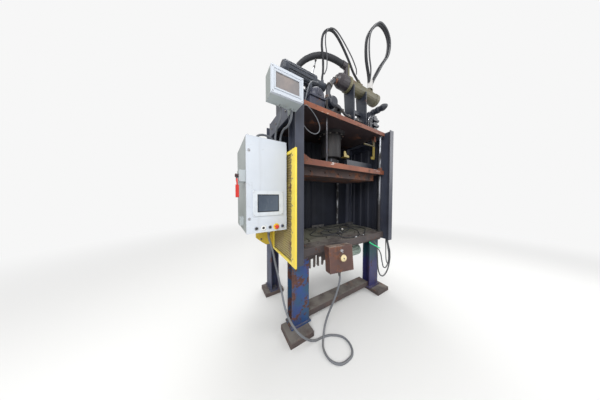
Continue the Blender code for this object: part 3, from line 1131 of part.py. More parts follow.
# Accumulator bottle on its stand
ring = BOTTLE_RADIUS + 0.010
cap_end = BOTTLE_LEFT + BOTTLE_CAP_LENGTH
profile = [(0, BOTTLE_LEFT), (BOTTLE_RADIUS * 0.45, BOTTLE_LEFT), (BOTTLE_RADIUS * 0.8, BOTTLE_LEFT + 0.03),
           (BOTTLE_RADIUS, BOTTLE_LEFT + 0.08), (BOTTLE_RADIUS, cap_end), (ring, cap_end + 0.004),
           (ring, cap_end + 0.035), (BOTTLE_RADIUS - 0.006, cap_end + 0.039), (BOTTLE_RADIUS - 0.006,
                                                                               BOTTLE_RIGHT - 0.10),
           (BOTTLE_RADIUS, BOTTLE_RIGHT - 0.095), (BOTTLE_RADIUS, BOTTLE_RIGHT - 0.03),
           (BOTTLE_RADIUS - 0.02, BOTTLE_RIGHT - 0.012),
           (0.032, BOTTLE_RIGHT - 0.012), (0.032, BOTTLE_RIGHT), (0, BOTTLE_RIGHT)]
port_top = BOTTLE_RADIUS + BOTTLE_PORT_HEIGHT
loop_foot = Vector((LOOP_PORT_X, BOTTLE_Y, BOTTLE_Z + BOTTLE_RADIUS + 0.012))
loop_stub = leaning(rod(0.022, 0, LOOP_PORT_LENGTH, loop_foot, steps=12), loop_foot, LOOP_PORT_LEAN)
elbow_z = BOTTLE_Z + HOSE_ELBOW_RISE
elbow = HOSE_PORT_RADIUS
elbow_ball = turned([(0, -elbow * 1.04), (elbow * 0.7, -elbow * 0.77), (elbow * 1.04, 0), (elbow * 0.7,
                                                                                           elbow * 0.77),
                     (0, elbow * 1.04)], (HOSE_PORT_X, BOTTLE_Y, elbow_z))
elbow_arm = rod(elbow, HOSE_PORT_X - HOSE_ELBOW_REACH, HOSE_PORT_X, (0, BOTTLE_Y, elbow_z), "X")
piece("accumulator", ((0.26, 0.24, 0.13), 0.6), turned(profile, (0, BOTTLE_Y, BOTTLE_Z), "X", 20),
      add=[together([rod(BOTTLE_PORT_RADIUS, BOTTLE_RADIUS * 0.7, port_top, (x, BOTTLE_Y, BOTTLE_Z), steps=12)
                     for x in (SLEEVE_PORT_X, SLEEVE_PORT_X + SLEEVE_PORT_PITCH)]
                    + [rod(BOTTLE_PORT_RADIUS, BOTTLE_RADIUS * 0.7, BOTTLE_RADIUS + 0.03,
                           (LOOP_PORT_X, BOTTLE_Y, BOTTLE_Z), steps=12),
                       rod(elbow, BOTTLE_RADIUS * 0.7, HOSE_ELBOW_RISE, (HOSE_PORT_X, BOTTLE_Y, BOTTLE_Z))]),
           loop_stub, elbow_ball, elbow_arm])
saddle_top = BOTTLE_Z - BOTTLE_RADIUS * 0.35
stand_low = CROWN_TOP + SEAT
saddles = together([prism([(STAND_FRONT - 0.02, stand_low + 0.004), (STAND_BACK + 0.02, stand_low + 0.004),
                           (BOTTLE_Y + BOTTLE_RADIUS * 0.99, saddle_top), (BOTTLE_Y - BOTTLE_RADIUS * 0.99,
                                                                           saddle_top)],
                          "yz", x, x + STAND_PLATE) for x in (STAND_LEFT + 0.06,
                                                              STAND_RIGHT - STAND_PLATE - 0.03)])
piece("accumulator_stand", (DARK, 0.6),
      box((STAND_LEFT, STAND_FRONT - 0.03, stand_low), (STAND_RIGHT, STAND_BACK + 0.03,
                                                        stand_low + STAND_BASE)),
      add=[saddles,
           box((STAND_LEFT + 0.065, BOTTLE_Y - 0.02, stand_low + 0.25), (STAND_RIGHT - 0.035,
                                                                         BOTTLE_Y + 0.02, stand_low + 0.30))],
      cut=[rod(BOTTLE_RADIUS - 0.006 + SEAT, STAND_LEFT - 0.05, STAND_RIGHT + 0.05, (0, BOTTLE_Y, BOTTLE_Z),
               "X", 20)])

# Valve manifold with stacked valves, and the filter it carries
mid_block = (MANIFOLD_LEFT + MANIFOLD_RIGHT) / 2
valve_row = [CROWN_TOP + 0.055 + k * VALVE_PITCH for k in range(3)]
piece("valve_manifold", (DARK, 0.6),
      box((MANIFOLD_LEFT, MANIFOLD_FRONT, stand_low), (MANIFOLD_RIGHT, MANIFOLD_BACK, MANIFOLD_TOP)),
      add=[together([box((mid_block - VALVE_LENGTH * 0.30, MANIFOLD_FRONT - 0.055, z - 0.026),
                         (mid_block + VALVE_LENGTH * 0.30, MANIFOLD_FRONT + 0.01,
                          z + 0.026)) for z in valve_row]),
           together([turned([(0, mid_block - VALVE_LENGTH * 0.72), (0.018, mid_block - VALVE_LENGTH * 0.72),
                             (0.022, mid_block - VALVE_LENGTH * 0.68), (0.022,
                                                                        mid_block + VALVE_LENGTH * 0.68),
                             (0.018, mid_block + VALVE_LENGTH * 0.72), (0, mid_block + VALVE_LENGTH * 0.72)],
                            (0, MANIFOLD_FRONT - 0.029, z), "X", 12) for z in valve_row])])
filter_profile = [(0, FILTER_FRONT), (FILTER_RADIUS * 0.4, FILTER_FRONT), (FILTER_RADIUS * 0.7,
                                                                           FILTER_FRONT + 0.02)]
ring_start = FILTER_FRONT + 0.035
ring_pitch = (FILTER_BACK - 0.06 - ring_start) / FILTER_RINGS
for k in range(FILTER_RINGS):
    y = ring_start + k * ring_pitch
    filter_profile += [(FILTER_RADIUS * 0.86, y), (FILTER_RADIUS, y + ring_pitch * 0.2),
                       (FILTER_RADIUS, y + ring_pitch * 0.6), (FILTER_RADIUS * 0.86, y + ring_pitch * 0.8)]
filter_profile += [(FILTER_RADIUS * 0.9, FILTER_BACK - 0.05), (FILTER_RADIUS * 0.9, FILTER_BACK), (0,
                                                                                                   FILTER_BACK)]
piece("filter_housing", (DARK, 0.5), turned(filter_profile, (FILTER_X, 0, FILTER_Z), "Y", 16),
      add=[box((FILTER_X - 0.05, MANIFOLD_FRONT + 0.02, MANIFOLD_TOP + SEAT), (FILTER_X + 0.05,
                                                                               MANIFOLD_BACK - 0.02,
                                                                               FILTER_Z - FILTER_RADIUS * 0.5))])

# Forks and valve hung under the bed at the left, pump and motor at the right
plate_low = BED_BOTTOM - SEAT - 0.014
fork_low = BED_BOTTOM - FORK_DROP
forks = []
for k in range(2):
    x = FORK_LEFT + k * FORK_PITCH
    slot = FORK_WIDTH * 0.28
    forks.append(prism([(x, plate_low + 0.004), (x, fork_low + 0.02), (x + 0.012, fork_low), (x + slot,
                                                                                              fork_low),
                        (x + slot, fork_low + 0.11), (x + FORK_WIDTH - slot, fork_low + 0.11),
                        (x + FORK_WIDTH - slot, fork_low), (x + FORK_WIDTH - 0.012, fork_low),
                        (x + FORK_WIDTH, fork_low + 0.02), (x + FORK_WIDTH, plate_low + 0.004)],
                       "xz", FORK_Y, FORK_Y + FORK_THICK))
fork_right = FORK_LEFT + FORK_PITCH + FORK_WIDTH
body_x = fork_right + 0.045
piece("underbed_valve", ((0.13, 0.09, 0.08), 0.7),
      box((FORK_LEFT - 0.01, FORK_Y - 0.02, plate_low), (body_x + 0.06, FORK_Y + 0.10, BED_BOTTOM - SEAT)),
      add=[together(forks),
           box((body_x - 0.03, FORK_Y + 0.01, fork_low + 0.045), (body_x + 0.03, FORK_Y + 0.07,
                                                                  plate_low + 0.005)),
           turned([(0, FORK_Y - 0.05), (0.018, FORK_Y - 0.05), (0.022, FORK_Y - 0.045), (0.022,
                                                                                         FORK_Y - 0.02),
                   (0.009, FORK_Y - 0.015), (0.009, FORK_Y + 0.02), (0, FORK_Y + 0.02)], (body_x, 0,
                                                                                          fork_low + 0.09),
                  "Y", 16)])
under = UNDER_PUMP_RADIUS
straps = together([box((x, UNDER_PUMP_Y - 0.035, UNDER_PUMP_Z), (x + 0.016, UNDER_PUMP_Y + 0.035,
                                                                 BED_BOTTOM - SEAT))
                   for x in (UNDER_PUMP_LEFT + 0.06, UNDER_PUMP_RIGHT - 0.08)])
piece("underbed_pump", ((0.30, 0.38, 0.34), 0.55),
      prism(finned(under, MOTOR_FINS, MOTOR_FIN, (UNDER_PUMP_Y, UNDER_PUMP_Z)), "yz", UNDER_PUMP_LEFT + 0.05,
            UNDER_PUMP_RIGHT - 0.05),
      add=[together([turned([(0, UNDER_PUMP_LEFT), (under * 0.8, UNDER_PUMP_LEFT), (under + MOTOR_FIN,
                                                                                    UNDER_PUMP_LEFT + 0.02),
                             (under + MOTOR_FIN, UNDER_PUMP_LEFT + 0.055), (0, UNDER_PUMP_LEFT + 0.055)],
                            (0, UNDER_PUMP_Y, UNDER_PUMP_Z), "X"),
                     turned([(0, UNDER_PUMP_RIGHT - 0.055), (under + MOTOR_FIN, UNDER_PUMP_RIGHT - 0.055),
                             (under + MOTOR_FIN, UNDER_PUMP_RIGHT), (under * 0.5, UNDER_PUMP_RIGHT),
                             (under * 0.5, UNDER_PUMP_RIGHT + 0.06), (0, UNDER_PUMP_RIGHT + 0.06)],
                            (0, UNDER_PUMP_Y, UNDER_PUMP_Z), "X")]),
           straps])

# Hoses and leads, each ending a seat's gap from its port or gland
GREY = ((0.20, 0.21, 0.23), 0.6)
RUBBER = ((0.03, 0.03, 0.035), 0.6)
station_gland = station_turn @ Vector((-0.012, 0, -half_h - 0.018 - SEAT))
below_gland = station_turn @ Vector((-0.012, 0, -half_h - 0.100))
floor_z = LEAD_RADIUS + 0.0005
cord("control_cable", GREY,
     [(LEAD_GLAND_X, 0.185, CABINET_BOTTOM - 0.020 - SEAT), (LEAD_GLAND_X, 0.185, 1.140), (-1.032, 0.205, 0.992),
      (-0.995, 0.215, 0.821), (-0.942, 0.205, 0.565), (-0.930, 0.090, 0.375), (-0.870, 0.000, 0.240),
      (-0.760, -0.020, 0.110), (-0.640, -0.010, 0.022), (-0.540, -0.015, floor_z), (-0.437, -0.050, floor_z),
      (-0.351, -0.130, floor_z), (-0.349, -0.228, floor_z), (-0.416, -0.295, floor_z),
      (-0.551, -0.292, floor_z), (-0.620, -0.221, floor_z), (-0.618, -0.120, 0.016), (-0.560, -0.045, 0.044), (-0.480, 0.000, 0.165),
      (-0.375, -0.040, 0.440), tuple(below_gland), tuple(station_gland)], LEAD_RADIUS, 5.0)
head_port = (HEAD_RIGHT - 0.047, MOTOR_Y, MOTOR_Z + HEAD_RADIUS + 0.030 + SEAT)
bottle_port = BOTTLE_Z + port_top + SEAT
loop_way = Vector((-math.sin(math.radians(LOOP_PORT_LEAN)), 0, math.cos(math.radians(LOOP_PORT_LEAN))))
loop_end = loop_foot + loop_way * (LOOP_PORT_LENGTH + SEAT)
cord("hose_loop_left", RUBBER,
     [head_port, (head_port[0], MOTOR_Y, 3.180), (-0.250, 0.362, 3.270), (-0.279, 0.330, 3.398),
      (-0.324, 0.300, 3.516), (-0.329, 0.271, 3.612), (-0.275, 0.250, 3.684), (-0.179, 0.239, 3.706),
      (-0.055, 0.240, 3.646),
      (0.116, 0.255, 3.520), (0.250, 0.275, 3.410), tuple(loop_end + loop_way * 0.035), tuple(loop_end)],
     HOSE_RADIUS)
second_port = SLEEVE_PORT_X + SLEEVE_PORT_PITCH
cord("hose_loop_right", RUBBER,
     [(SLEEVE_PORT_X, BOTTLE_Y, bottle_port), (SLEEVE_PORT_X, BOTTLE_Y, bottle_port + 0.050),
      (0.625, 0.272, 3.502), (0.488, 0.226, 3.689), (0.458, 0.200, 3.917), (0.566, 0.200, 4.126),
      (0.751, 0.200, 4.324), (0.942, 0.200, 4.327), (1.047, 0.201, 4.190), (1.004, 0.205, 3.944),
      (0.843, 0.230, 3.702), (0.750, 0.268, 3.510), (second_port, BOTTLE_Y, bottle_port + 0.060),
      (second_port, BOTTLE_Y, bottle_port)], SLEEVED_RADIUS)
elbow_end = HOSE_PORT_X - HOSE_ELBOW_REACH - SEAT
cord("suction_hose", RUBBER,
     [(*suction_at, TANK_TOP + 0.035 + SEAT), (*suction_at, 3.000), (-0.604, 0.571, 3.171),
      (-0.561, 0.560, 3.308), (-0.482, 0.517, 3.411), (-0.379, 0.449, 3.469), (-0.260, 0.366, 3.475),
      (-0.137, 0.304, 3.443),
      (elbow_end - 0.060, BOTTLE_Y, elbow_z), (elbow_end, BOTTLE_Y, elbow_z)], SUCTION_RADIUS, 4.0)
box_gland = WINDOW_BOX_BOTTOM - 0.014 - SEAT
top_gland = CABINET_TOP + 0.014 + SEAT
for side, high_x, low_x in zip(("left", "right"), BOX_GLANDS_X, TOP_GLANDS_X):
    cord(f"conduit_{side}", GREY,
         s_bend((high_x, BOX_GLAND_Y, box_gland), (low_x, TOP_GLAND_Y, top_gland), CONDUIT_LEAD),
         CONDUIT_RADIUS)
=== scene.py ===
import math

import bpy
import numpy as np
from mathutils import Matrix, Vector


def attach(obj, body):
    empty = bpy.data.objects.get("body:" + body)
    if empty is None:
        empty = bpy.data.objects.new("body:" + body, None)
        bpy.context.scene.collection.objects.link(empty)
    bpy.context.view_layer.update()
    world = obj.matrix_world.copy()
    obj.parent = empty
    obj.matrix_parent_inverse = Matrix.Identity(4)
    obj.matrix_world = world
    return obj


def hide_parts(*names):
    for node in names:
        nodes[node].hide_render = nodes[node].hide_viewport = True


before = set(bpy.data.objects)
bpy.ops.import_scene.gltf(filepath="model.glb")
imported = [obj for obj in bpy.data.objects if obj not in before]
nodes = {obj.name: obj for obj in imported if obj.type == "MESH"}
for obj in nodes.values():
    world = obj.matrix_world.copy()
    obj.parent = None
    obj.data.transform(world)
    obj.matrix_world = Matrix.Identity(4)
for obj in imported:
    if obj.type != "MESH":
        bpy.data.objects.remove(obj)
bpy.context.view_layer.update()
print("press solids loaded:", len(nodes))

# the drawing has x = 0 on the press's centre plane and y = 0 on the posts' front; the solids sit this far from it
drawingShift = np.array([0.23965, -0.49985, 0])


def fromDrawing(points):
        return np.asarray(points, float) + drawingShift


def addObject(name, data):
    made = bpy.data.objects.new(name, data)
    bpy.context.scene.collection.objects.link(made)
    return made


# camera: fitted to the straight edges of the posts, cabinet and foot blocks
view = {"place": (-1.5054, -1.1641, 1.55), "yaw": 30.314, "tilt": -1.539, "roll": 0.07, "focal": 138.92}
cameraData = bpy.data.cameras.new("camera")
cameraData.sensor_width = 36
cameraData.lens = view["focal"] * 36 / 600
cameraData.clip_start = 0.02
cameraData.clip_end = 80
camera = addObject("camera", cameraData)
camera.location = fromDrawing(view["place"])
yaw, tilt, roll = (Matrix.Rotation(math.radians(angle), 3, axis) for angle, axis in ((-view["yaw"], "Z"),
    (90 + view["tilt"], "X"), (view["roll"], "Z")))
camera.rotation_euler = (yaw @ tilt @ roll).to_euler()
bpy.context.scene.camera = camera


# shader writing: a wrapped socket that takes part in sums, and one method for every other node
def operator(operation, swapped=False):
    def sumOf(self, other):
        pair = (other, self) if swapped else (self, other)
        return self.maker.node("Math", {"operation": operation}, {0: pair[0], 1: pair[1]})

    return sumOf


class Value:
    __add__ = __radd__ = operator("ADD")
    __mul__ = __rmul__ = operator("MULTIPLY")
    __sub__, __rsub__ = operator("SUBTRACT"), operator("SUBTRACT", True)
    least, most = operator("MINIMUM"), operator("MAXIMUM")

    def __init__(self, maker, socket):
        self.maker = maker
        self.socket = socket

    # 0 below low, 1 above high, with a smooth ramp between them; low above high turns it round
    def ramp(self, low, high):
        if low > high:
            return 1 - self.ramp(high, low)
        settings = {"interpolation_type": "SMOOTHSTEP"}
        return self.maker.node("MapRange", settings, {"Value": self, "From Min": low, "From Max": high})


class Finish:
    def __init__(self, owner):
        self.owner = bpy.data.materials.new(owner) if isinstance(owner, str) else owner
        self.owner.use_nodes = True
        self.tree = self.owner.node_tree
        self.shader = self.tree.nodes.get("Principled BSDF")
        self.made = {}

    def node(self, kind, settings, sockets, out=0):
        new = self.tree.nodes.new("ShaderNode" + kind)
        for key, value in settings.items():
            setattr(new, key, value)
        for key, value in sockets.items():
            self.feed(new.inputs[key], value)
        return Value(self, new.outputs[out])

        # colours are given in thousandths
    def feed(self, socket, value):
        if isinstance(value, Value):
            self.tree.links.new(value.socket, socket)
        elif isinstance(value, (tuple, list)) and len(value) == 3 and socket.type == "RGBA":
            socket.default_value = (*(part / 1000 for part in value), 1)
        else:
            socket.default_value = value

    # where a point lies in the drawing: its object coordinates, moved back by the drawing's shift
    def place(self):
        if "place" not in self.made:
            local = self.node("TexCoord", {}, {}, "Object")
            self.made["place"] = self.node("VectorMath", {"operation": "ADD"}, {0: local, 1: tuple(-drawingShift)})
        return self.made["place"]

    def split(self, vector, key):
        if key not in self.made:
            self.made[key] = self.node("SeparateXYZ", {}, {"Vector": vector}).socket.node
        return [Value(self, socket) for socket in self.made[key].outputs]

    def axes(self):
        return self.split(self.place(), "axes")

    # how far the surface looks along x, y and z, in the piece's own frame
    def facing(self):
        if "normal" not in self.made:
            self.made["normal"] = self.node("TexCoord", {}, {}, "Normal")
        return self.split(self.made["normal"], "facing")

    def noise(self, scale, detail=5, rough=0.6, stretch=None, warp=0, shift=0):
        vector = self.place()
        if stretch:
            vector = self.node("VectorMath", {"operation": "MULTIPLY"}, {0: vector, 1: stretch})
        if shift:
            vector = self.node("VectorMath", {"operation": "ADD"}, {0: vector, 1: (shift, shift, shift)})
        return self.node("TexNoise", {}, {"Vector": vector, "Scale": scale, "Detail": detail, "Roughness": rough,
            "Distortion": warp})

    def mix(self, share, one, two):
        return self.node("Mix", {"data_type": "RGBA"}, {0: share, 6: one, 7: two}, 2)

    # 1 along outer corners, from how far a rounded normal leans away from the true one
    def edges(self, width):
        soft = self.node("Bevel", {"samples": 4}, {"Radius": width})
        true = self.node("NewGeometry", {}, {}, "Normal")
        lean = self.node("VectorMath", {"operation": "DOT_PRODUCT"}, {0: soft, 1: true}, "Value")
        return (1 - lean).ramp(0.02, 0.22)

    def bump(self, height, strength, distance=0.001):
        return self.node("Bump", {}, {"Height": height, "Strength": strength, "Distance": distance})

    def use(self, **sockets):
        names = {"colour": "Base Color", "rough": "Roughness", "metal": "Metallic", "normal": "Normal"}
        for key, value in sockets.items():
            self.feed(self.shader.inputs[names[key]], value)
        return self.owner


# old paint on steel: patches of rust, bare corners, streaks that run down, and dust on what looks up; where a look
# gives a colour for them, the faces that don't look to the front take it as painted shade
usualCoat = dict(toneScale=2.2, streaks=0.35, rustScale=5.5, edgeWear=0.6, rustFrom=0.6, edgeMetal=0.2, rough=0.5,
    rust=(235, 85, 40), rustDark=(85, 42, 30), dust=0.5, dustTone=(200, 185, 165), bump=0.35, chipScale=16, zones=(),
    wobble=0.12)


def wornPaint(name, look, **own):
    f = Finish(name)
    look = {**usualCoat, **look, **own}
    towards, upward = f.facing()[1:]
    tone = f.noise(look["toneScale"])
    fine = f.noise(34, 6, 0.65)
    paint = f.mix(tone.ramp(0.32, 0.68), look["paint"], look["paintTwo"])
    front = (0 - towards).ramp(0.35, 0.7)
    # painted shade: faces that don't look to the front get a darker colour
    if "elsewhere" in look:
        paint = f.mix(front, look["elsewhere"], paint)
    streaks = f.noise(9, stretch=(1, 1, 0.09))
    paint = f.mix(streaks.ramp(0.5, 0.74) * look["streaks"], paint, look["stain"])
    patch = f.noise(look["rustScale"], 8, 0.68, warp=0.4, shift=3)
    rust = (patch + (fine - 0.5) * 0.35).ramp(look["rustFrom"], look["rustFrom"] + 0.05)
    corners = (f.edges(0.006) + (fine - 0.5) * 0.8).ramp(0.35, 0.75) * look["edgeWear"]
    rustTone = f.mix(fine.ramp(0.35, 0.65), look["rust"], look["rustDark"])
    colour = f.mix(rust, paint, rustTone)
    if "chips" in look:
        chipped = (f.noise(look["chipScale"], 7, 0.72, stretch=(0.55, 1, 1.3), shift=11) + (fine - 0.5) * 0.25)
        colour = f.mix(chipped.ramp(0.62, 0.66) * front, colour, look["chips"])
    colour = f.mix(corners, colour, look["bare"])
    for axis, low, high, toned, share in look["zones"]:
        reach = f.axes()[axis] + (patch - 0.5) * look["wobble"]
        colour = f.mix(reach.ramp(low, high) * share, colour, toned)
    dust = (upward.ramp(0.55, 0.95) * f.noise(6, shift=7).ramp(0.3, 0.62)) * look["dust"]
    colour = f.mix(dust, colour, look["dustTone"])
    rough = (tone - 0.5) * 0.25 + rust * 0.25 + dust * 0.2 + look["rough"]
    height = fine * 0.4 + rust * 0.5 + f.noise(140, 3, 0.6) * 0.25
    return f.use(colour=colour, rough=rough.most(0.12).least(0.97), metal=corners * look["edgeMetal"],
        normal=f.bump(height, look["bump"], 0.0012))


# bright round bar: ground finish with oily smears
def brightBar(name, look, **own):
    f = Finish(name)
    look = {**look, **own}
    smear = f.noise(5, 6, 0.65, stretch=(1, 1, 0.5))
    fine = f.noise(60, stretch=(1, 1, 0.12))
    grime = (smear + (fine - 0.5) * 0.4).ramp(look["grimeFrom"], look["grimeFrom"] + 0.14)
    colour = f.mix(fine.ramp(0.3, 0.7), look["steel"], look["steelTwo"])
    colour = f.mix(grime, colour, look["grime"])
    return f.use(colour=colour, rough=(fine * 0.18 + grime * 0.4 + look["rough"]).least(0.9), metal=(1 - grime * 0.8),
        normal=f.bump(fine + grime * 0.4, 0.12, 0.0006))


# sheet-metal enclosure paint: even coat with faint orange peel, handling marks and grey runs, and painted shade on
# faces that look to the left
def cabinetPaint(name, look, **own):
    f = Finish(name)
    look = {"runs": 0.25, **look, **own}
    soft = f.noise(1.6, 4, 0.55)
    runs = f.noise(14, stretch=(1, 1, 0.06))
    marks = f.noise(9, 7, 0.7, shift=5)
    specks = f.node("TexVoronoi", {}, {"Vector": f.place(), "Scale": 46}).ramp(0.1, 0.03)
    colour = f.mix(soft.ramp(0.3, 0.7), look["paint"], look["paintTwo"])
    # painted shade: faces that look to the left take the darker side colour
    if "side" in look:
        colour = f.mix((0 - f.facing()[0]).ramp(0.5, 0.9) * (soft * 0.5 + 0.6).least(1), colour, look["side"])
    colour = f.mix(runs.ramp(0.56, 0.78) * look["runs"], colour, look["grime"])
    colour = f.mix(marks.ramp(0.6, 0.7) * 0.25, colour, look["grime"])
    colour = f.mix(specks * marks.ramp(0.45, 0.6) * 0.6, colour, look["grime"])
    colour = f.mix(f.edges(0.003) * 0.35, colour, look["grime"])
    rough = soft * 0.12 + marks.ramp(0.5, 0.8) * 0.15 + 0.36
    return f.use(colour=colour, rough=rough, normal=f.bump(f.noise(230, 2, 0.5), 0.06, 0.0006))


def plainPlastic(name, base, dirty, dirt=0.35, scale=30, rough=0.35, upper=None):
    f = Finish(name)
    soft = f.noise(scale)
    if upper:
        height, tone = upper
        base = f.mix(f.axes()[2].ramp(height, height + 0.002), base, tone)
    colour = f.mix(soft.ramp(0.35, 0.75) * dirt, base, dirty)
    colour = f.mix(f.edges(0.0012) * 0.4, colour, dirty)
    return f.use(colour=colour, rough=soft * 0.2 + rough, normal=f.bump(f.noise(420, 2, 0.5), 0.08, 0.0004))


# screen panel: pale bezel round a dark glass with finger smears and a diagonal painted reflection, where x and z lie
# inside the glass's edges
def screenPanel(name, base, dirty, glassX, glassZ, glass, glassReflection, border, smear):
    f = Finish(name)
    x, z = f.axes()[::2]
    (left, right), (low, high) = glassX, glassZ

    def within(inset, soft):
        return (x.ramp(left + inset, left + inset + soft) * x.ramp(right - inset, right - inset - soft)
            * z.ramp(low + inset, low + inset + soft) * z.ramp(high - inset, high - inset - soft))

    inside, edge = within(0, 0.0012) * (0 - f.facing()[1]).ramp(0.5, 0.8), within(0.01, 0.001)
    smears = f.noise(14, 6, 0.65, stretch=(1, 1, 0.6), warp=0.6)
    # painted reflection: the glass brightens diagonally from its own dark tone to a pale blue
    sky = (x - z * 0.8).ramp(left - high * 0.8, right - low * 0.8)
    glass = f.mix(edge, border, f.mix(sky, glass, glassReflection))
    glass = f.mix(smears.ramp(0.52, 0.75) * 0.25, glass, smear)
    soft = f.noise(18, 6, 0.65)
    body = f.mix(soft.ramp(0.45, 0.8) * 0.5, base, dirty)
    body = f.mix(f.edges(0.0015) * 0.4, body, dirty)
    rough = f.node("Mix", {"data_type": "FLOAT"}, {0: inside, 2: soft * 0.2 + 0.36, 3: smears * 0.22 + 0.05}, 0)
    return f.use(colour=f.mix(inside, body, glass), rough=rough, normal=f.bump(f.noise(420, 2, 0.5), 0.04, 0.0004))


# rubber cover: matt, dusty where it looks up
def hoseRubber(name, base, baseTwo, dustTone, rough=0.52):
    f = Finish(name)
    soft, fine = f.noise(4), f.noise(90, 4, 0.6)
    dust = (f.facing()[2] * 0.5 + 0.5).ramp(0.45, 1) * soft.ramp(0.3, 0.7) * 0.6
    colour = f.mix(dust, f.mix(soft.ramp(0.3, 0.7), base, baseTwo), dustTone)
    return f.use(colour=colour, rough=fine * 0.15 + rough, normal=f.bump(fine, 0.25, 0.0008))


slatePost = dict(paint=(44, 51, 76), paintTwo=(26, 30, 48), stain=(80, 82, 94), rustFrom=0.68, edgeWear=0.5,
    bare=(130, 125, 130), rough=0.46, dust=0.35)
legBlue = dict(paint=(20, 55, 215), paintTwo=(18, 75, 115), stain=(75, 42, 48), toneScale=4, rustFrom=0.495,
    rustScale=5.2, streaks=0.7, edgeWear=0.8, bare=(120, 55, 42), rust=(130, 46, 30), rustDark=(60, 28, 24))
rightLegBlue = dict(legBlue, paint=(26, 28, 125), paintTwo=(20, 20, 80), rustFrom=0.6,
    zones=((2, 0.46, 0.62, (14, 60, 68), 0.85),), wobble=0.25)
rearLegBlue = dict(legBlue, paint=(35, 50, 110), paintTwo=(28, 35, 70), rustFrom=0.6)
# painted shade: the crown's and platen's faces that don't look to the front are near-black
crownRust = dict(paint=(235, 70, 30), paintTwo=(135, 42, 26), stain=(75, 40, 34), elsewhere=(30, 19, 21),
    chips=(420, 320, 260), rustFrom=0.58, bare=(360, 190, 120), rough=0.62)
platenRust = dict(crownRust, chips=(580, 540, 520), chipScale=9)
hotPlate = dict(paint=(62, 34, 29), paintTwo=(34, 23, 23), stain=(100, 60, 45), rustFrom=0.52, bare=(220, 140, 110),
    rough=0.66)
bedBrown = dict(paint=(70, 54, 52), paintTwo=(40, 34, 37), stain=(115, 80, 62), edgeWear=0.7, bare=(200, 140, 110),
    rough=0.66, dust=0.6, rust=(130, 58, 38), rustDark=(60, 34, 28))
blockBrown = dict(paint=(88, 62, 56), paintTwo=(50, 40, 40), stain=(150, 95, 75), rustFrom=0.58, edgeWear=0.7,
    bare=(200, 150, 130), rough=0.75, dust=0.8)
machineDark = dict(paint=(22, 27, 41), paintTwo=(12, 15, 25), stain=(60, 60, 64), rustFrom=0.64, bare=(120, 120, 125),
    rough=0.45, dust=0.45, dustTone=(130, 130, 135))
greasyCylinder = dict(machineDark, paint=(14, 13, 15), paintTwo=(8, 8, 10), stain=(45, 33, 28), bare=(50, 48, 48),
    streaks=0.8, rough=0.6)
khakiBottle = dict(paint=(125, 112, 58), paintTwo=(78, 72, 46), stain=(50, 46, 43), bare=(220, 200, 140), rough=0.46,
    dust=0.35, zones=((0, 0.175, 0.16, (170, 160, 85), 0.7), (0, 0.118, 0.108, (34, 28, 36), 0.97)), wobble=0.01)
guardYellow = dict(paint=(720, 530, 45), paintTwo=(620, 430, 35), stain=(300, 200, 50), rustFrom=0.68, edgeWear=0.5,
    bare=(300, 200, 80), rough=0.42, dust=0.3)
curtainNavy = dict(paint=(11, 14, 27), paintTwo=(6, 8, 16), stain=(30, 34, 46), rustFrom=0.78, edgeWear=0.15,
    bare=(30, 35, 50), rough=0.72, streaks=0.5, dust=0.1)
stationRust = dict(paint=(125, 55, 42), paintTwo=(72, 38, 34), stain=(200, 125, 95), rustFrom=0.55, edgeWear=0.9,
    bare=(330, 220, 160), rough=0.6, dust=0.9, dustTone=(360, 300, 250))
motorGrey = dict(paint=(50, 60, 80), paintTwo=(30, 36, 50), stain=(45, 43, 45), rustFrom=0.66, edgeWear=0.5,
    bare=(350, 340, 330), rough=0.48, dust=0.7)
motorGreen = dict(motorGrey, paint=(380, 470, 410), paintTwo=(250, 320, 280))
oliveSteel = dict(paint=(105, 108, 84), paintTwo=(50, 50, 45), toneScale=5, zones=((0, -0.2, -0.55, (235, 240, 175),
    0.65), (1, 0.34, 0.24, (100, 88, 80), 0.6)), wobble=0.35, stain=(45, 42, 38), rustFrom=0.64, edgeWear=0.8,
    bare=(300, 290, 250), dust=0.3, dustTone=(200, 190, 150))
rodSteel = dict(steel=(420, 430, 460), steelTwo=(220, 230, 250), grime=(30, 28, 30), grimeFrom=0.45, rough=0.26)
ramSteel = dict(steel=(75, 75, 85), steelTwo=(40, 40, 48), grime=(30, 26, 25), grimeFrom=0.42, rough=0.32)
brightSteel = dict(steel=(600, 610, 640), steelTwo=(420, 430, 460), grime=(60, 55, 50), grimeFrom=0.56, rough=0.16)
doorGrey = dict(paint=(560, 600, 660), paintTwo=(500, 540, 600), grime=(270, 270, 270))
# side is painted shade for the cabinet body's faces that look to the left
bodyGrey = dict(paint=(440, 480, 500), paintTwo=(370, 410, 420), grime=(200, 200, 190), side=(195, 220, 208),
    runs=0.4)
latchYellow = dict(guardYellow, paint=(300, 235, 40), paintTwo=(180, 135, 35), rustFrom=0.6,
    zones=((2, 2.33, 2.345, (75, 70, 60), 0.8),))
guardSheet = dict(guardYellow, zones=((2, 1.55, 0.95, (300, 225, 60), 0.3),), wobble=0.3)
rubberBlack = dict(base=(12, 13, 17), baseTwo=(20, 21, 26), dustTone=(45, 45, 50), rough=0.6)
leadGrey = dict(base=(150, 160, 180), baseTwo=(110, 118, 135), dustTone=(240, 235, 225))

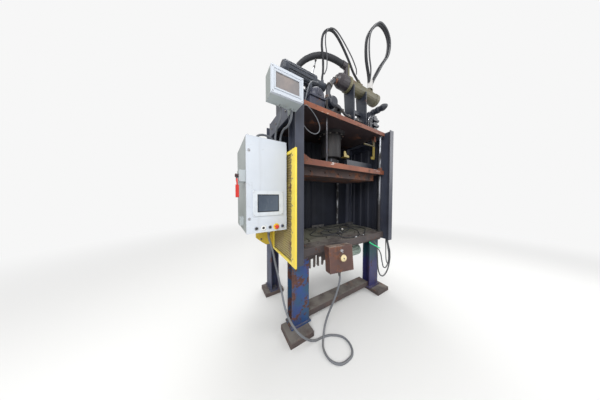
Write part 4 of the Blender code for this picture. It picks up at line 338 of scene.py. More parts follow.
paintOf = {"side_frame_left side_frame_right": slatePost, "leg_front_left": legBlue, "leg_front_right": rightLegBlue,
    "leg_rear_left leg_rear_right": rearLegBlue, "bed underbed_valve": bedBrown, "bolster_plate": oliveSteel,
    "foot_block_front_left foot_block_front_right foot_block_rear_left foot_block_rear_right floor_tie": blockBrown,
    "crown_plate": crownRust, "platen": platenRust, "heated_platen": hotPlate, "main_cylinder": greasyCylinder,
    "platen_bar reservoir gear_pump accumulator_stand valve_manifold filter_housing": machineDark,
    "left_guard": guardSheet, "latch_hook": latchYellow, "cabinet_support": guardYellow,
    "rear_curtain right_guard": curtainNavy, "station_box": stationRust, "side_motor": motorGrey,
    "underbed_pump": motorGreen, "accumulator": khakiBottle}
barsOf = {"guide_rod_front_left guide_rod_front_right guide_rod_rear_left guide_rod_rear_right": rodSteel,
    "ram trip_rod": ramSteel}
cabinetOf = {"cabinet_door junction_lid mounting_panel": doorGrey, "cabinet_body junction_box": bodyGrey}


def dress(node, material):
    mesh = nodes[node].data
    mesh.materials.clear()
    mesh.materials.append(material)


for recipe, given, ending in ((wornPaint, paintOf, "Paint"), (brightBar, barsOf, "Steel"),
        (cabinetPaint, cabinetOf, "Paint")):
    for names, look in given.items():
        for node in names.split():
            dress(node, recipe(node + ending, look))
plastics = {"black_button": dict(base=(15, 15, 17), dirty=(80, 80, 80)), "ringed_button": dict(base=(20, 20, 24),
    dirty=(90, 90, 90)), "second_black_button": dict(base=(18, 18, 20), dirty=(80, 80, 80)),
    "estop_button": dict(base=(620, 35, 18), dirty=(250, 30, 20), rough=0.25), "key_switch": dict(base=(40, 50, 90),
    dirty=(150, 150, 170)), "disconnect_handle": dict(base=(550, 25, 18), dirty=(220, 30, 20), rough=0.3,
    upper=(1.705, (14, 14, 18))), "palm_button": dict(base=(740, 620, 360), dirty=(350, 270, 140), rough=0.3),
    "junction_window": dict(base=(200, 188, 190), dirty=(290, 245, 225), scale=7, rough=0.1, dirt=0.8),
    "station_selector": dict(base=(480, 480, 500), dirty=(150, 140, 130)),}
for node, look in plastics.items():
    dress(node, plainPlastic(node + "Plastic", **look))
dress("hmi_panel", screenPanel("hmi_panelPlastic", base=(580, 620, 670), dirty=(360, 380, 400),
    glassX=(-1.201, -0.99), glassZ=(1.4, 1.568), glass=(35, 50, 75), glassReflection=(85, 110, 150), border=(20, 24, 32),
    smear=(160, 180, 200)))
print("finishes given to the solids")


# smooth curve through route points: each stretch is the cubic through its two ends whose slopes are half the
# step between their neighbours, so b + (c - a)t/2 + (2a - 5b + 4c - d)t^2/2 + (3b - a - 3c + d)t^3/2
def smoothRoute(route, spacing):
    p = np.asarray(route, float)
    p = np.vstack([2 * p[0] - p[1], p, 2 * p[-1] - p[-2]])
    a, b, c, d = p[:-3, None], p[1:-2, None], p[2:-1, None], p[3:, None]
    t = (np.arange(24) / 24)[None, :, None]
    fine = b + 0.5 * ((c - a) * t + (2 * a - 5 * b + 4 * c - d) * t ** 2 + (3 * b - a - 3 * c + d) * t ** 3)
    fine = np.vstack([fine.reshape(-1, 3), p[-2]])
    walked = np.r_[0, np.cumsum(np.linalg.norm(np.diff(fine, axis=0), axis=1))]
    wanted = np.linspace(0, walked[-1], max(6, round(walked[-1] / spacing)))
    return np.stack([np.interp(wanted, walked, fine[:, k]) for k in range(3)], axis=1)


# a route's text has x, y and z of one point after another, in the drawing's millimetres
def readRoute(text):
    return np.array([point.split() for point in text.split(",")], float) / 1000


def laid(route, spacing):
    return smoothRoute(fromDrawing(route), spacing)


def hoseCurve(name, path, radius, material):
    curve = bpy.data.curves.new(name, "CURVE")
    curve.dimensions = "3D"
    curve.bevel_depth = radius
    curve.bevel_resolution = 4
    curve.use_fill_caps = True
    line = curve.splines.new("POLY")
    line.points.add(len(path) - 1)
    line.points.foreach_set("co", np.c_[path, np.ones(len(path))].astype(np.float32).ravel())
    line.use_smooth = True
    curve.materials.append(material)
    hose = addObject(name, curve)
    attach(hose, "frame")
    return hose


def layLeads(leads, finish):
    for name, (size, route) in leads.items():
        radius = size / 1000
        path = laid(readRoute(route), radius * 1.8)
        hoseCurve(name, path, radius, finish)


hoseFinish = hoseRubber("hoseRubber", **rubberBlack)
leadFinish = hoseRubber("leadSheath", **leadGrey)

# two equal arcs that leave the upper point straight down and reach the lower one straight down: with half the
# distance across h, and half the fall left after the straight leads v, the turn is 2 atan(h / v) and the radius
# v / sin(turn)
def sBend(ends, lead):
    top, foot = readRoute(ends)
    across = (foot - top) * (1, 1, 0)
    fall = (top[2] - foot[2]) / 2 - lead
    turn = 2 * math.atan2(np.linalg.norm(across) / 2, fall)
    t = np.linspace(0, turn, 7)[:, None]
    radius = fall / math.sin(turn)
    sideways = across / np.linalg.norm(across)
    arc = sideways * radius * (1 - np.cos(t)) - np.array([0, 0, 1]) * (radius * np.sin(t) + lead)
    return np.vstack([top, top + arc, foot - arc[-2::-1], foot])


cords = {
    "controlLead": {"stands": "control_cable", "radius": 0.0105, "finish": leadFinish, "stiffness": "medium",
        "lay": "loose",
        "route": readRoute("-1078 185 1188.7, -1078 185 1140, -1032 205 992, -995 215 821, -942 205 565, "
        "-930 90 375, -870 0 240, -760 -20 110, -640 -10 22, -540 -15 11, -437 -50 11, "
        "-351 -130 11, -349 -228 11, -416 -295 11, -551 -292 11, -620 -221 11, -618 -120 16, "
        "-560 -45 44, -480 0 165, -375 -40 440, -329.6 -51.6 601.8, -327.7 -41.9 682.6")},
    "loopLeft": {"stands": "hose_loop_left", "radius": 0.015,
        "route": readRoute("-262 365 3132.3, -262 365 3180, -250 362 3270, -279 330 3398, -324 300 3516, "
        "-329 271 3612, -275 250 3684, -179 239 3706, -55 240 3646, 116 255 3520, "
        "250 275 3410, 339.2 285 3361.6, 367.8 285 3341.5")},
    "loopRight": {"stands": "hose_loop_right", "radius": 0.022,
        "route": readRoute("655 285 3317.3, 655 285 3367.3, 625 272 3502, 488 226 3689, 458 200 3917, "
        "566 200 4126, 751 200 4324, 942 200 4327, 1047 201 4190, 1004 205 3944, 843 230 3702, "
        "750 268 3510, 717 285 3377.3, 717 285 3317.3")},
    "suctionHose": {"stands": "suction_hose", "radius": 0.037,
        "route": readRoute("-600 550 2890.6, -600 550 3000, -604 571 3171, -561 560 3308, -482 517 3411, "
        "-379 449 3469, -260 366 3475, -137 304 3443, -35.3 285 3430, 24.7 285 3430")},
    "conduitLeft": {"stands": "conduit_left", "radius": 0.011, "finish": leadFinish,
        "route": sBend("-1035 -30 2315.7, -1000 200 2106.3", 0.012)},
    "conduitRight": {"stands": "conduit_right", "radius": 0.011, "finish": leadFinish,
        "route": sBend("-930 -30 2315.7, -945 200 2106.3", 0.012)},
}
usualCord = {"finish": hoseFinish, "stiffness": "stiff", "lay": "hanging"}
for name, cord in cords.items():
    cord = {**usualCord, **cord}
    path = laid(cord["route"], cord["radius"] * 1.6)
    hose = hoseCurve(name, path, cord["radius"], cord["finish"])
    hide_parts(cord["stands"])
print("hoses and leads laid")

# turns the faces of a closed shape outwards: the signed volume is the sum of a . (b x c) / 6 over its triangles
def outward(points, faces):
    fan = np.array([(face[0], face[k], face[k + 1]) for face in faces for k in range(1, len(face) - 1)])
    a, b, c = (points[fan[:, k]] - points.mean(axis=0) for k in range(3))
    if np.einsum("ij,ij->i", a, np.cross(b, c)).sum() < 0:
        faces = [tuple(reversed(face)) for face in faces]
    return points, faces


# mesh writing: every piece below is a set of (points, faces) shapes worked out with numpy and put in one mesh
def sheetMesh(name, parts, material, body="frame", edge=0, segments=2, smooth=35):
    faces, start = [], 0
    for some, theirs in parts:
        faces += [tuple(int(k) + start for k in face) for face in theirs]
        start += len(some)
    points = np.vstack([some for some, theirs in parts])

    mesh = bpy.data.meshes.new(name)
    mesh.from_pydata(fromDrawing(points), [], faces)
    mesh.materials.append(material)
    piece = addObject(name, mesh)
    mesh.shade_smooth()
    mesh.set_sharp_from_angle(angle=math.radians(smooth))
    if edge:
        bevel = piece.modifiers.new("soft edges", "BEVEL")
        bevel.width = edge
        bevel.segments = segments
        bevel.limit_method = "ANGLE"
        bevel.angle_limit = math.radians(40)
    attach(piece, body)
    return piece


# gives a thin surface its wall
def giveWall(piece, thickness, offset=0):
    wall = piece.modifiers.new("wall", "SOLIDIFY")
    wall.thickness = thickness
    wall.offset = offset


# faces between the closed rings of a grid of points, with a flat cap at each end or the last ring joined to the first
def ringFaces(rows, columns, caps=False, round=False):
    i, k = np.meshgrid(np.arange(rows if round else rows - 1), np.arange(columns), indexing="ij")
    j, n = (i + 1) % rows, (k + 1) % columns
    corners = [i * columns + k, i * columns + n, j * columns + n, j * columns + k]
    faces = [tuple(quad) for quad in np.stack(corners, -1).reshape(-1, 4)]
    if caps:
        faces += [tuple(range(columns - 1, -1, -1)), tuple(range((rows - 1) * columns, rows * columns))]
    return faces


# an outline in two axes carried along the third: "xy", "xz" or "yz"
def slab(outline, plane, low, high):
    flat = np.asarray(outline, float)
    order = {"xy": (0, 1, 2), "xz": (0, 2, 1), "yz": (1, 2, 0)}[plane]
    points = np.vstack([np.c_[flat, np.full(len(flat), level)] for level in (low, high)])
    placed = np.empty_like(points)
    placed[:, order[0]], placed[:, order[1]], placed[:, order[2]] = points.T
    return outward(placed, ringFaces(2, len(flat), True))


def block(low, high):
    return slab([(low[0], low[1]), (high[0], low[1]), (high[0], high[1]), (low[0], high[1])], "xy", low[2], high[2])


# a profile of (radius, height) turned about a line from a foot point along a direction:
# foot + direction h + radius (cos t u + sin t w), closed at both ends by flat caps
def turned(profile, foot, along, steps=24, hollow=False):
    along = np.asarray(along, float) / np.linalg.norm(along)
    u = np.cross(along, (0, 0, 1) if abs(along[2]) < 0.9 else (1, 0, 0))
    u /= np.linalg.norm(u)
    w = np.cross(along, u)
    profile = np.asarray(profile, float)
    t = (np.arange(steps) + 0.5) * 2 * np.pi / steps
    ring = np.cos(t)[:, None] * u + np.sin(t)[:, None] * w
    points = np.asarray(foot, float) + profile[:, 1, None, None] * along + profile[:, 0, None, None] * ring[None]
    return outward(points.reshape(-1, 3), ringFaces(len(profile), steps, not hollow, hollow))


# a round section carried along a path: each ring stands square to the path, and its first axis is carried on from
# ring to ring by taking out the part that leans along the new direction
def tube(path, radius, sides=12):
    path = np.asarray(path, float)
    way = np.gradient(path, axis=0)
    way /= np.linalg.norm(way, axis=1)[:, None]
    u = np.cross(way[0], (0, 0, 1) if abs(way[0][2]) < 0.9 else (1, 0, 0))
    frames = []
    for step in way:
        u = u - step * (u @ step)
        u = u / np.linalg.norm(u)
        frames.append(u)
    frames = np.array(frames)
    other = np.cross(way, frames)
    t = np.arange(sides) * 2 * np.pi / sides
    points = path[:, None] + radius * (np.cos(t)[None, :, None] * frames[:, None] + np.sin(t)[None, :, None]
        * other[:, None])
    return outward(points.reshape(-1, 3), ringFaces(len(path), sides, True))


# a six-sided bolt head on a washer, its crown chamfered
def bolt(foot, along, size):
    washer = turned([(size * 1.15, 0), (size * 1.15, size * 0.18), (size * 1.05, size * 0.24)], foot, along, 16)
    head = turned([(size, size * 0.2), (size, size * 0.75), (size * 0.82, size * 0.88)], foot, along, 6)
    return [washer, head]


def bolts(feet, along, size):
    return [part for foot in feet for part in bolt(foot, along, size)]


# a screw: low dome with a hollow in its middle
def screw(foot, along, size):
    return turned([(size, 0), (size * 0.95, size * 0.18), (size * 0.5, size * 0.32), (size * 0.18, size * 0.3),
        (size * 0.16, size * 0.12)], foot, along, 14)


left, up, out = (-1, 0, 0), (0, 0, 1), (0, -1, 0)

# pierced side guard: a bent border with a close diamond mesh inside it
guard = {"face": -0.8753, "thick": 0.0197, "front": -0.033, "back": 0.59, "low": 0.862, "high": 2.003, "strip": 0.08,
    "border": 0.03, "cellsAcross": 22, "cellsUp": 42, "bar": 0.0062, "sheet": 0.0024, "tooth": 0.031}


# every cell of the mesh is a square with a diamond hole: eight triangles lie between its corners and the diamond's
def diamondMesh(across, up, cellsAcross, cellsUp, bar):
    y = np.linspace(*across, cellsAcross + 1)
    z = np.linspace(*up, cellsUp + 1)
    corners = np.stack(np.meshgrid(y, z, indexing="ij"), -1)
    halfY, halfZ = (y[1] - y[0]) / 2 - bar / 2, (z[1] - z[0]) / 2 - bar / 2
    middle = (corners[:-1, :-1] + corners[1:, 1:]) / 2
    tips = np.stack([middle + (-halfY, 0), middle + (0, -halfZ), middle + (halfY, 0), middle + (0, halfZ)], 2)
    points = np.vstack([corners.reshape(-1, 2), tips.reshape(-1, 2)])
    i, k = np.meshgrid(np.arange(cellsAcross), np.arange(cellsUp), indexing="ij")
    a = i * (cellsUp + 1) + k
    b, c, d = a + cellsUp + 1, a + cellsUp + 2, a + 1
    t = (cellsAcross + 1) * (cellsUp + 1) + (i * cellsUp + k) * 4
    w, s, e, n = t, t + 1, t + 2, t + 3
    fans = [(a, b, s), (b, e, s), (b, c, e), (c, n, e), (c, d, n), (d, w, n), (d, a, w), (a, s, w)]
    return points, [tuple(f) for f in np.concatenate([np.stack(fan, -1).reshape(-1, 3) for fan in fans])]


near, far = guard["front"] + guard["strip"], guard["back"] - guard["border"]
foot, head = guard["low"] + guard["border"], guard["high"] - guard["border"]
guardIn, guardOut, lap = guard["face"], guard["face"] - guard["thick"], 0.004
flat, holes = diamondMesh((near - lap, far + lap), (foot - lap, head + lap), guard["cellsAcross"], guard["cellsUp"],
    guard["bar"])
meshFinish = wornPaint("guardMeshPaint", guardYellow, paint=(360, 290, 85), paintTwo=(250, 190, 85),
    stain=(130, 95, 60), streaks=0.7, toneScale=6, rustFrom=0.6)
netting = sheetMesh("guardNetting", [(np.c_[np.full(len(flat), guardIn - lap), flat], holes)], meshFinish)
giveWall(netting, guard["sheet"])
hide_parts("left_guard")
# the front strip's inner edge has a row of teeth, where the mesh is welded on
teeth = np.arange(foot, head - guard["tooth"] / 2, guard["tooth"])
toothed = [(near + 0.009 * step, z + guard["tooth"] * at) for z in teeth[::-1] for at, step in ((0.75, 0), (0.6, 1),
    (0.2, 1), (0.05, 0))]
strip = [(guard["front"], guard["low"]), (guard["front"], guard["high"]), (near, guard["high"]), *toothed,
    (near, guard["low"])]
rails = [block((guardOut + 0.003, near - 0.002, low), (guardIn - 0.0006, far + 0.002, high))
    for low, high in ((head, guard["high"]), (guard["low"], foot))]
frameBars = [slab(strip, "yz", guardOut, guardIn), block((guardOut + 0.004, far, guard["low"]),
    (guardIn, guard["back"], guard["high"])), *rails]
sheetMesh("guardBorder", frameBars, wornPaint("guardBorderPaint", guardYellow, paint=(840, 680, 90),
    paintTwo=(780, 580, 50), rustFrom=0.72, stain=(450, 340, 100)), edge=0.0025)
sheetMesh("guardScrews", [screw((guardOut, 0.02, z), left, 0.0075) for z in (0.94, 1.2, 1.46, 1.72, 1.94)],
    wornPaint("guardScrewSteel", machineDark, paint=(300, 280, 220), paintTwo=(200, 180, 140)))

# punched marks along the strip, inside its row of teeth
mark = {"half": (0.0065, 0.012), "every": 2, "inset": 0.004}
marks = [slab([(near - mark["inset"] + a * mark["half"][0], z + b * mark["half"][1])
    for a, b in ((-1, 0), (0, -1), (1, 0), (0, 1))], "yz", guardOut - 0.0012, guardOut + 0.0004)
    for z in teeth[::mark["every"]] + guard["tooth"] / 2]
sheetMesh("guardMarks", marks, meshFinish)

# screen panel and the row of controls on the cabinet door
door = {"front": 0.135, "left": -1.295, "right": -0.906, "controls": 1.252, "first": -1.21, "pitch": 0.064,
    "hmi": (-1.0945, 1.484), "hmiSize": (0.296, 0.236), "hmiFront": 0.1257}
knobs = [(door["first"] + k * door["pitch"], door["front"], door["controls"]) for k in range(5)]
chrome = brightBar("bezelChrome", brightSteel, grimeFrom=0.66, rough=0.12)
sheetMesh("buttonBezels", [turned([(0.0127, 0.0062), (0.0135, 0.0088), (0.0158, 0.0086), (0.0175, 0.0068),
    (0.0178, 0.0055), (0.0127, 0.0055)], knob, out, 28, hollow=True) for knob in knobs[::2]], chrome, "door_body")
sheetMesh("whiteBezel", [turned([(0.0127, 0.0062), (0.0135, 0.0092), (0.0202, 0.009), (0.0222, 0.0068),
    (0.0224, 0.0055), (0.0127, 0.0055)], knobs[1], out, 28, hollow=True)], plainPlastic("bezelWhite",
    base=(860, 860, 840), dirty=(550, 540, 500), dirt=0.25), "door_body")
sheetMesh("stopPlate", [turned([(0.013, 0.0022), (0.013, 0.004), (0.029, 0.004), (0.0302, 0.0032), (0.0304, 0.0022)],
    knobs[3], out, 36, hollow=True)], plainPlastic("stopYellow", base=(800, 580, 30), dirty=(400, 290, 50)),
    "door_body")
hmiX, hmiZ = door["hmi"]
halfW, halfH = door["hmiSize"][0] / 2, door["hmiSize"][1] / 2
sheetMesh("screenScrews", [turned([(0.0042, 0), (0.0042, 0.0012), (0.003, 0.0018)],
    (hmiX + sx * (halfW - 0.012), door["hmiFront"], hmiZ + sz * (halfH - 0.012)), out, 12) for sx in (-1, 1)
    for sz in (-1, 1)], chrome, "door_body")
locks = [turned([(0.0125, 0), (0.0125, 0.0035), (0.011, 0.005), (0.005, 0.005), (0.0045, 0.002)],
    (door["left"] + 0.022, door["front"], z), out, 20) for z in (1.345, 1.96)]
sheetMesh("doorLocks", locks, chrome, "door_body")
hinges = [turned([(0.0055, -0.03), (0.0062, -0.028), (0.0062, 0.028), (0.0055, 0.03)],
    (door["right"] + 0.0068, door["front"] + 0.016, z), up, 16) for z in (1.31, 1.99)]
sheetMesh("doorHinges", hinges, chrome)

# window box: raised bar round the pane and corner screws
lid = {"front": -0.1493, "x": (-1.16, -0.88), "z": (2.33, 2.536), "window": (0.205, 0.118)}
lidX, lidZ = sum(lid["x"]) / 2, sum(lid["z"]) / 2
w, h = lid["window"][0] / 2, lid["window"][1] / 2
barX, barZ = w + 0.014, h + 0.013
ringParts = [block((lidX + x[0], lid["front"] - under, lidZ + z[0]), (lidX + x[1], lid["front"] + 0.003, lidZ + z[1]))
    for x, z, under in (((-barX, barX), (h, barZ), 0.0015), ((-barX, barX), (-barZ, -h), 0.0015),
    ((-barX, -w), (-h, h), 0.0014), ((w, barX), (-h, h), 0.0014))]
sheetMesh("paneBar", ringParts, cabinetPaint("paneBarPaint", doorGrey, paint=(470, 500, 540)), "lid_body",
    edge=0.0012)
sheetMesh("lidScrews", [screw((lidX + sx * 0.128, lid["front"], lidZ + sz * 0.091), out, 0.006) for sx in (-1, 1)
    for sz in (-1, 1)], chrome, "lid_body")

# frame fastenings: bolts on the crown flange, the bed's ledge and the side plates
steelDark = wornPaint("boltSteel", machineDark, paint=(100, 95, 90), paintTwo=(65, 60, 58), edgeMetal=0.6,
    bare=(350, 330, 300), rustFrom=0.55)
flange = {"z": 2.4547, "ring": 0.178, "count": 12, "first": 0.26, "y": 0.47, "size": 0.0125}
turns = np.arange(flange["count"]) * 2 * np.pi / flange["count"] + flange["first"]
ring = [(flange["ring"] * math.cos(t), flange["y"] + flange["ring"] * math.sin(t), flange["z"]) for t in turns]
sheetMesh("flangeBolts", bolts(ring, (0, 0, -1), flange["size"]), steelDark)
row = {"first": -0.665, "pitch": 0.19, "places": (0, 1, 3, 4, 6, 7), "y": 0.16, "z": 0.9803, "size": 0.0125}
ledgeFeet = [(row["first"] + k * row["pitch"], row["y"], row["z"]) for k in row["places"]]
sheetMesh("ledgeBolts", bolts(ledgeFeet, up, row["size"]), steelDark)
beam = {"x": 0.8752, "y": (0.22, 0.36, 0.52, 0.68), "z": 2.46, "size": 0.011}
beamBolts = [part for side in (-1, 1) for part in bolts([(side * beam["x"], y, beam["z"]) for y in beam["y"]],
    (side, 0, 0), beam["size"])]
sheetMesh("beamBolts", beamBolts, steelDark)
print("guard, door and fastenings made")

# heater leads lying over the bolster, with the small terminal box that they come from
darkPlastic = plainPlastic("terminalPlastic", base=(45, 46, 50), dirty=(160, 150, 140), rough=0.45, dirt=0.7)
terminal = {"x": (0.59, 0.68), "y": (0.585, 0.67), "base": 1.0153, "height": 0.046}
tx, ty, tz = terminal["x"], terminal["y"], terminal["base"]
parts = [block((tx[0], ty[0], tz), (tx[1], ty[1], tz + terminal["height"] * 0.72)),
    block((tx[0] - 0.002, ty[0] - 0.002, tz + terminal["height"] * 0.74), (tx[1] + 0.002, ty[1] + 0.002,
    tz + terminal["height"]))]
sheetMesh("terminalBox", parts, darkPlastic, edge=0.0035, segments=3)
glandY = [ty[0] + 0.018, ty[0] + 0.043, ty[0] + 0.068]
sheetMesh("terminalGlands", [turned([(0.0095, 0), (0.0095, 0.006), (0.0085, 0.009), (0.0085, 0.014), (0.0068, 0.017)],
    (tx[0], y, tz + 0.012), left, 12) for y in glandY], darkPlastic)
whiteCap = plainPlastic("connectorWhite", base=(620, 610, 580), dirty=(300, 280, 250), dirt=0.6)
# their heights are over the line on which a lead rests on the bolster; on the bed's ledge that line is 35.3 lower
boardZ = tz + 0.0065
wires = {
    "heaterLeadOne": (6.2,
        "572.5 603 5.5, 542.5 603 5.5, 470 520 0, 330 390 0, 150 290 0, -50 262 0, -190 285 0, -255 360 0, "
        "-200 440 0, -80 470 0, 40 440 0, 126 390 4, 150 376 6"),
    "heaterLeadTwo": (6.2,
        "572.5 628 5.5, 542.5 628 5.5, 440 610 0, 300 560 0, 230 480 0, 270 400 3, 330 345 14, 360 290 0, "
        "352 240 -4, 320 190 -29.3, 250 135 -35.3, 100 112 -35.3, -20 128 -33.3, -62 180 -23.3, -64 232 -2, "
        "-30 290 13, 30 330 0, 75 345 0"),
    "heaterLeadThree": (6.2,
        "572.5 653 5.5, 542.5 653 5.5, 470 665 0, 430 600 10, 460 520 13, 540 450 0, 580 370 0, 560 280 0, "
        "520 225 -4, 440 180 -31.3, 385 140 -35.3, 330 120 -35.3"),
    "looseLeadOne": (5,
        "-130 700 18.2, -132 682 18.2, -160 620 8.2, -230 540 10, -330 480 0, -430 400 0, -400 310 0, "
        "-290 250 4, -160 215 4, -60 160 -25.3, 20 120 -35.3, 120 100 -35.3"),
    "looseLeadTwo": (4.5,
        "-50 700 18.2, -51 682 18.2, -60 640 10.2, -50 560 4, 30 500 0, 130 500 0, 200 440 0, 180 350 14, "
        "100 300 14, 10 230 0, -50 235 16, -110 320 0, -90 400 0"),
    "looseLeadThree": (5,
        "40 700 18.2, 41 682 18.2, 62 635 9.2, 120 590 4, 220 600 0, 300 630 4, 380 600 14, 400 500 13, "
        "430 400 0, 500 330 0, 560 350 0"),
}
for name, (size, text) in wires.items():
    radius = size / 1000
    route = readRoute(text) + (0, 0, boardZ)
    path = laid(route, radius * 1.8)
    lead = hoseCurve(name, path, radius, hoseFinish)
    tip = route[-1]
    big = 2 if name == "heaterLeadOne" else 1.15
    plug = turned([(0.0066, -0.004), (0.0078 * big, 0.002), (0.0085 * big, 0.012), (0.008 * big, 0.02),
        (0.0055 * big, 0.024)], tip + (0, 0, 0.0065 * (big - 1)), (tip - route[-2]) * (1, 1, 0), 18)
    own = [sheetMesh(name + "Plug", [plug], whiteCap if big > 1.5 else chrome)]
# grey leads on the crown and an arch of lead on the cabinet's roof
crownLeads = {"crownWire": (4.5,
    "-735 72 2484, -722 55 2484, -688 50 2468, -628 50 2424, -578 50 2370, -548 50 2305, -560 50 2250, "
    "-605 50 2216, -670 48 2216, -735 36 2238, -768 30 2262, -789 28 2272"), "tankWire": (7,
    "-612 295.5 2640, -612 270 2642, -612 235 2690, -600 215 2780, -562 225 2880, -500 250 2950, "
    "-420 276 2985, -390 290 3010, -372 300 3022"), "cabinetArch": (11.5,
    "-1173 300 2106.3, -1173 300 2125, -1160 302 2162, -1125 308 2188, -1069 315 2198, -1013 322 2188, "
    "-979 328 2162, -966 330 2125, -966 330 2106.3"),}
layLeads(crownLeads, leadFinish)
# tapered strain reliefs where the grey lead leaves the cabinet and enters the button station
relief = [(0.0165, -0.002), (0.0165, 0.006), (0.015, 0.009), (0.0134, 0.024), (0.012, 0.038), (0.0111, 0.04)]
leadRoute = cords["controlLead"]["route"]
leadWay = leadRoute[-2] - leadRoute[-1]
sheetMesh("strainReliefs", [turned(relief, leadRoute[0], (0, 0, -1), 20), turned(relief, leadRoute[-1], leadWay, 20)],
    darkPlastic)
# the yellow plate bolted to the carrier's arm, seen below the cabinet's left corner
armPlate = {"outline": [(-1.112, 1.205), (-1.112, 1.03), (-1.05, 0.975), (-0.985, 0.925), (-0.908, 0.925),
    (-0.908, 1.205)], "y": (0.6, 0.608), "bolt": (-1.045, 1.004)}
sheetMesh("armPlate", [slab(armPlate["outline"], "xz", *armPlate["y"])], wornPaint("armPlatePaint", guardYellow),
    edge=0.001)
sheetMesh("armBolt", bolt((armPlate["bolt"][0], armPlate["y"][0], armPlate["bolt"][1]), out, 0.011), steelDark)
# the breather on the cabinet's roof
sheetMesh("roofBreather", [turned([(0.011, 0), (0.011, 0.006), (0.008, 0.008), (0.008, 0.026), (0.006, 0.03)],
    (-1.27, 0.2, 2.0923), up, 16)], chrome)
print("loose leads laid")

# second strand of each loop, tied to the first, and the white tape round the right loop's foot
strandFinish = hoseRubber("strandRubber", base=(75, 78, 86), baseTwo=(50, 52, 58), dustTone=(200, 195, 190))
leftRoute = laid(cords["loopLeft"]["route"], 0.02)
rightRoute = laid(cords["loopRight"]["route"], 0.02)


# a strand that runs beside a hose: the hose's points moved along one steady side way, and back to it at both ends
def besideHose(path, aside, wander):
    t = np.linspace(0, 1, len(path))
    part = np.clip(np.minimum(t, 1 - t) / 0.12, 0, 1)
    part = part * part * (3 - 2 * part)
    sway = 1 + wander * np.sin(t * 9)
    return path + (part * sway)[:, None] * np.asarray(aside, float)


for name, path, aside, radius, owner in (("loopLeftStrand", leftRoute, (0.03, -0.03, 0.014), 0.0075,
        "hose_loop_left"), ("loopRightStrand", rightRoute, (0.006, -0.04, 0.004), 0.011, "hose_loop_right")):
    run = besideHose(path, aside, 0.25)[4:-4]
    strand = hoseCurve(name, run, radius, strandFinish)
tapeFinish = plainPlastic("clothTape", base=(620, 610, 600), dirty=(340, 330, 320), scale=18, dirt=0.5, rough=0.6)
tapeMiddle = np.array([0.686, 0.285, 3.317])
along = np.linspace(0, 0.15, 16)
turnOf = np.linspace(0, 2 * np.pi, 33)[:-1]
wrap = np.stack([(0.06 + 0.0025 * np.sin(along * 260))[:, None] * np.cos(turnOf) * np.linspace(1, 0.86, 16)[:, None],
    (0.033 + 0.002 * np.sin(along * 240 + 1))[:, None] * np.sin(turnOf), np.repeat(along[:, None], 32, 1)], -1)
tape = sheetMesh("portTape", [(wrap.reshape(-1, 3) + tapeMiddle + (0, 0, 0.004), ringFaces(*wrap.shape[:2]))],
    tapeFinish, smooth=60)
giveWall(tape, 0.002)
print("strands and tape made")

# castings, pipes and fittings of the power unit, between the tank, the pump, the bottle and the valve block
casting = wornPaint("castingPaint", machineDark, paint=(36, 40, 66), paintTwo=(22, 24, 40), toneScale=6,
    rustFrom=0.68, bump=0.6)
crownTop, tankFront = 2.5553, 0.3003
bell = {"x": -0.447, "z": 2.782, "radius": 0.11, "face": 0.178}
profile = [(bell["radius"] * r, (tankFront - bell["face"]) * t) for r, t in ((1, -0.002), (1, 0.2), (0.955, 0.24),
    (0.94, 0.52), (0.86, 0.74), (0.68, 0.9), (0.4, 0.985), (0.3, 1), (0.3, 1.06), (0.18, 1.08))]
base = [block((-0.602, 0.166, crownTop), (-0.362, tankFront - 0.0005, 2.6)), block((-0.59, 0.176, 2.598),
    (-0.374, tankFront - 0.0005, 2.712)), block((-0.598, 0.16, 2.712), (-0.366, tankFront - 0.0005, 2.736))]
spokes = np.arange(6) * np.pi / 3 + 0.3
bellFeet = [(bell["x"] + 0.092 * math.cos(t), tankFront - 0.0285, bell["z"] + 0.092 * math.sin(t)) for t in spokes]
sheetMesh("driveCasting", base + [turned(profile, (bell["x"], tankFront, bell["z"]), out, 40)], casting, edge=0.004)
sheetMesh("driveBolts", bolts(bellFeet, out, 0.01), steelDark)
pipeFinish = wornPaint("pipePaint", machineDark, paint=(60, 62, 72), paintTwo=(35, 36, 44), edgeMetal=0.5,
    rustFrom=0.7)
pipes = {"pumpRise": (30, "-246 262 2838, -246 262 2900, -232 266 2985, -190 276 3060, -140 283 3120, -88 285 3155"),
    "pumpReturn": (17, "-165 235 2760, -110 228 2760, -40 226 2742, 30 226 2700, 80 226 2690, 109.5 226 2690"),
    "lowPressure": (21, "133 245 2700, 230 245 2698, 360 245 2698, 470 245 2700, 477.5 245 2700"),
    "highPressure": (15, "-160 300 2700, -80 318 2660, 60 330 2640, 260 330 2640, 460 330 2640, 549.5 330 2640"),
    "drain": (12, "-175 330 2660, -100 345 2610, 60 352 2590, 300 352 2590, 549.5 352 2592"),
    "headLink": (6.5, "-214 352 3078, -180 340 3100, -140 310 3168, -88 292 3205"),
    "tankVent": (10, "-440 365 3126, -418 367 3180, -380 385 3290, -350 408 3370, -330 420 3430"),}
pipePaths = {name: smoothRoute(readRoute(route), 0.012) for name, (size, route) in pipes.items()}
for name, finish, few in (("hardPipes", pipeFinish, ("pumpRise", "pumpReturn", "lowPressure", "highPressure",
        "drain")), ("thinPipes", chrome, ("headLink", "tankVent"))):
    sheetMesh(name, [tube(pipePaths[one], pipes[one][0] / 1000, 14) for one in few], finish)
nut = [(0, -0.012), (1, -0.012), (1, 0.01), (0.82, 0.014), (0, 0.014)]
nuts = []
for name, path in pipePaths.items():
    radius = pipes[name][0] / 1000
    for k in (1, len(path) // 2, len(path) - 2):
        nuts.append(turned([(r * radius * 1.55, t * (radius / 0.015 * 0.5 + 0.5)) for r, t in nut], path[k],
            path[k + 1] - path[k - 1], 6))
sheetMesh("pipeNuts", nuts, steelDark, edge=0.0012)
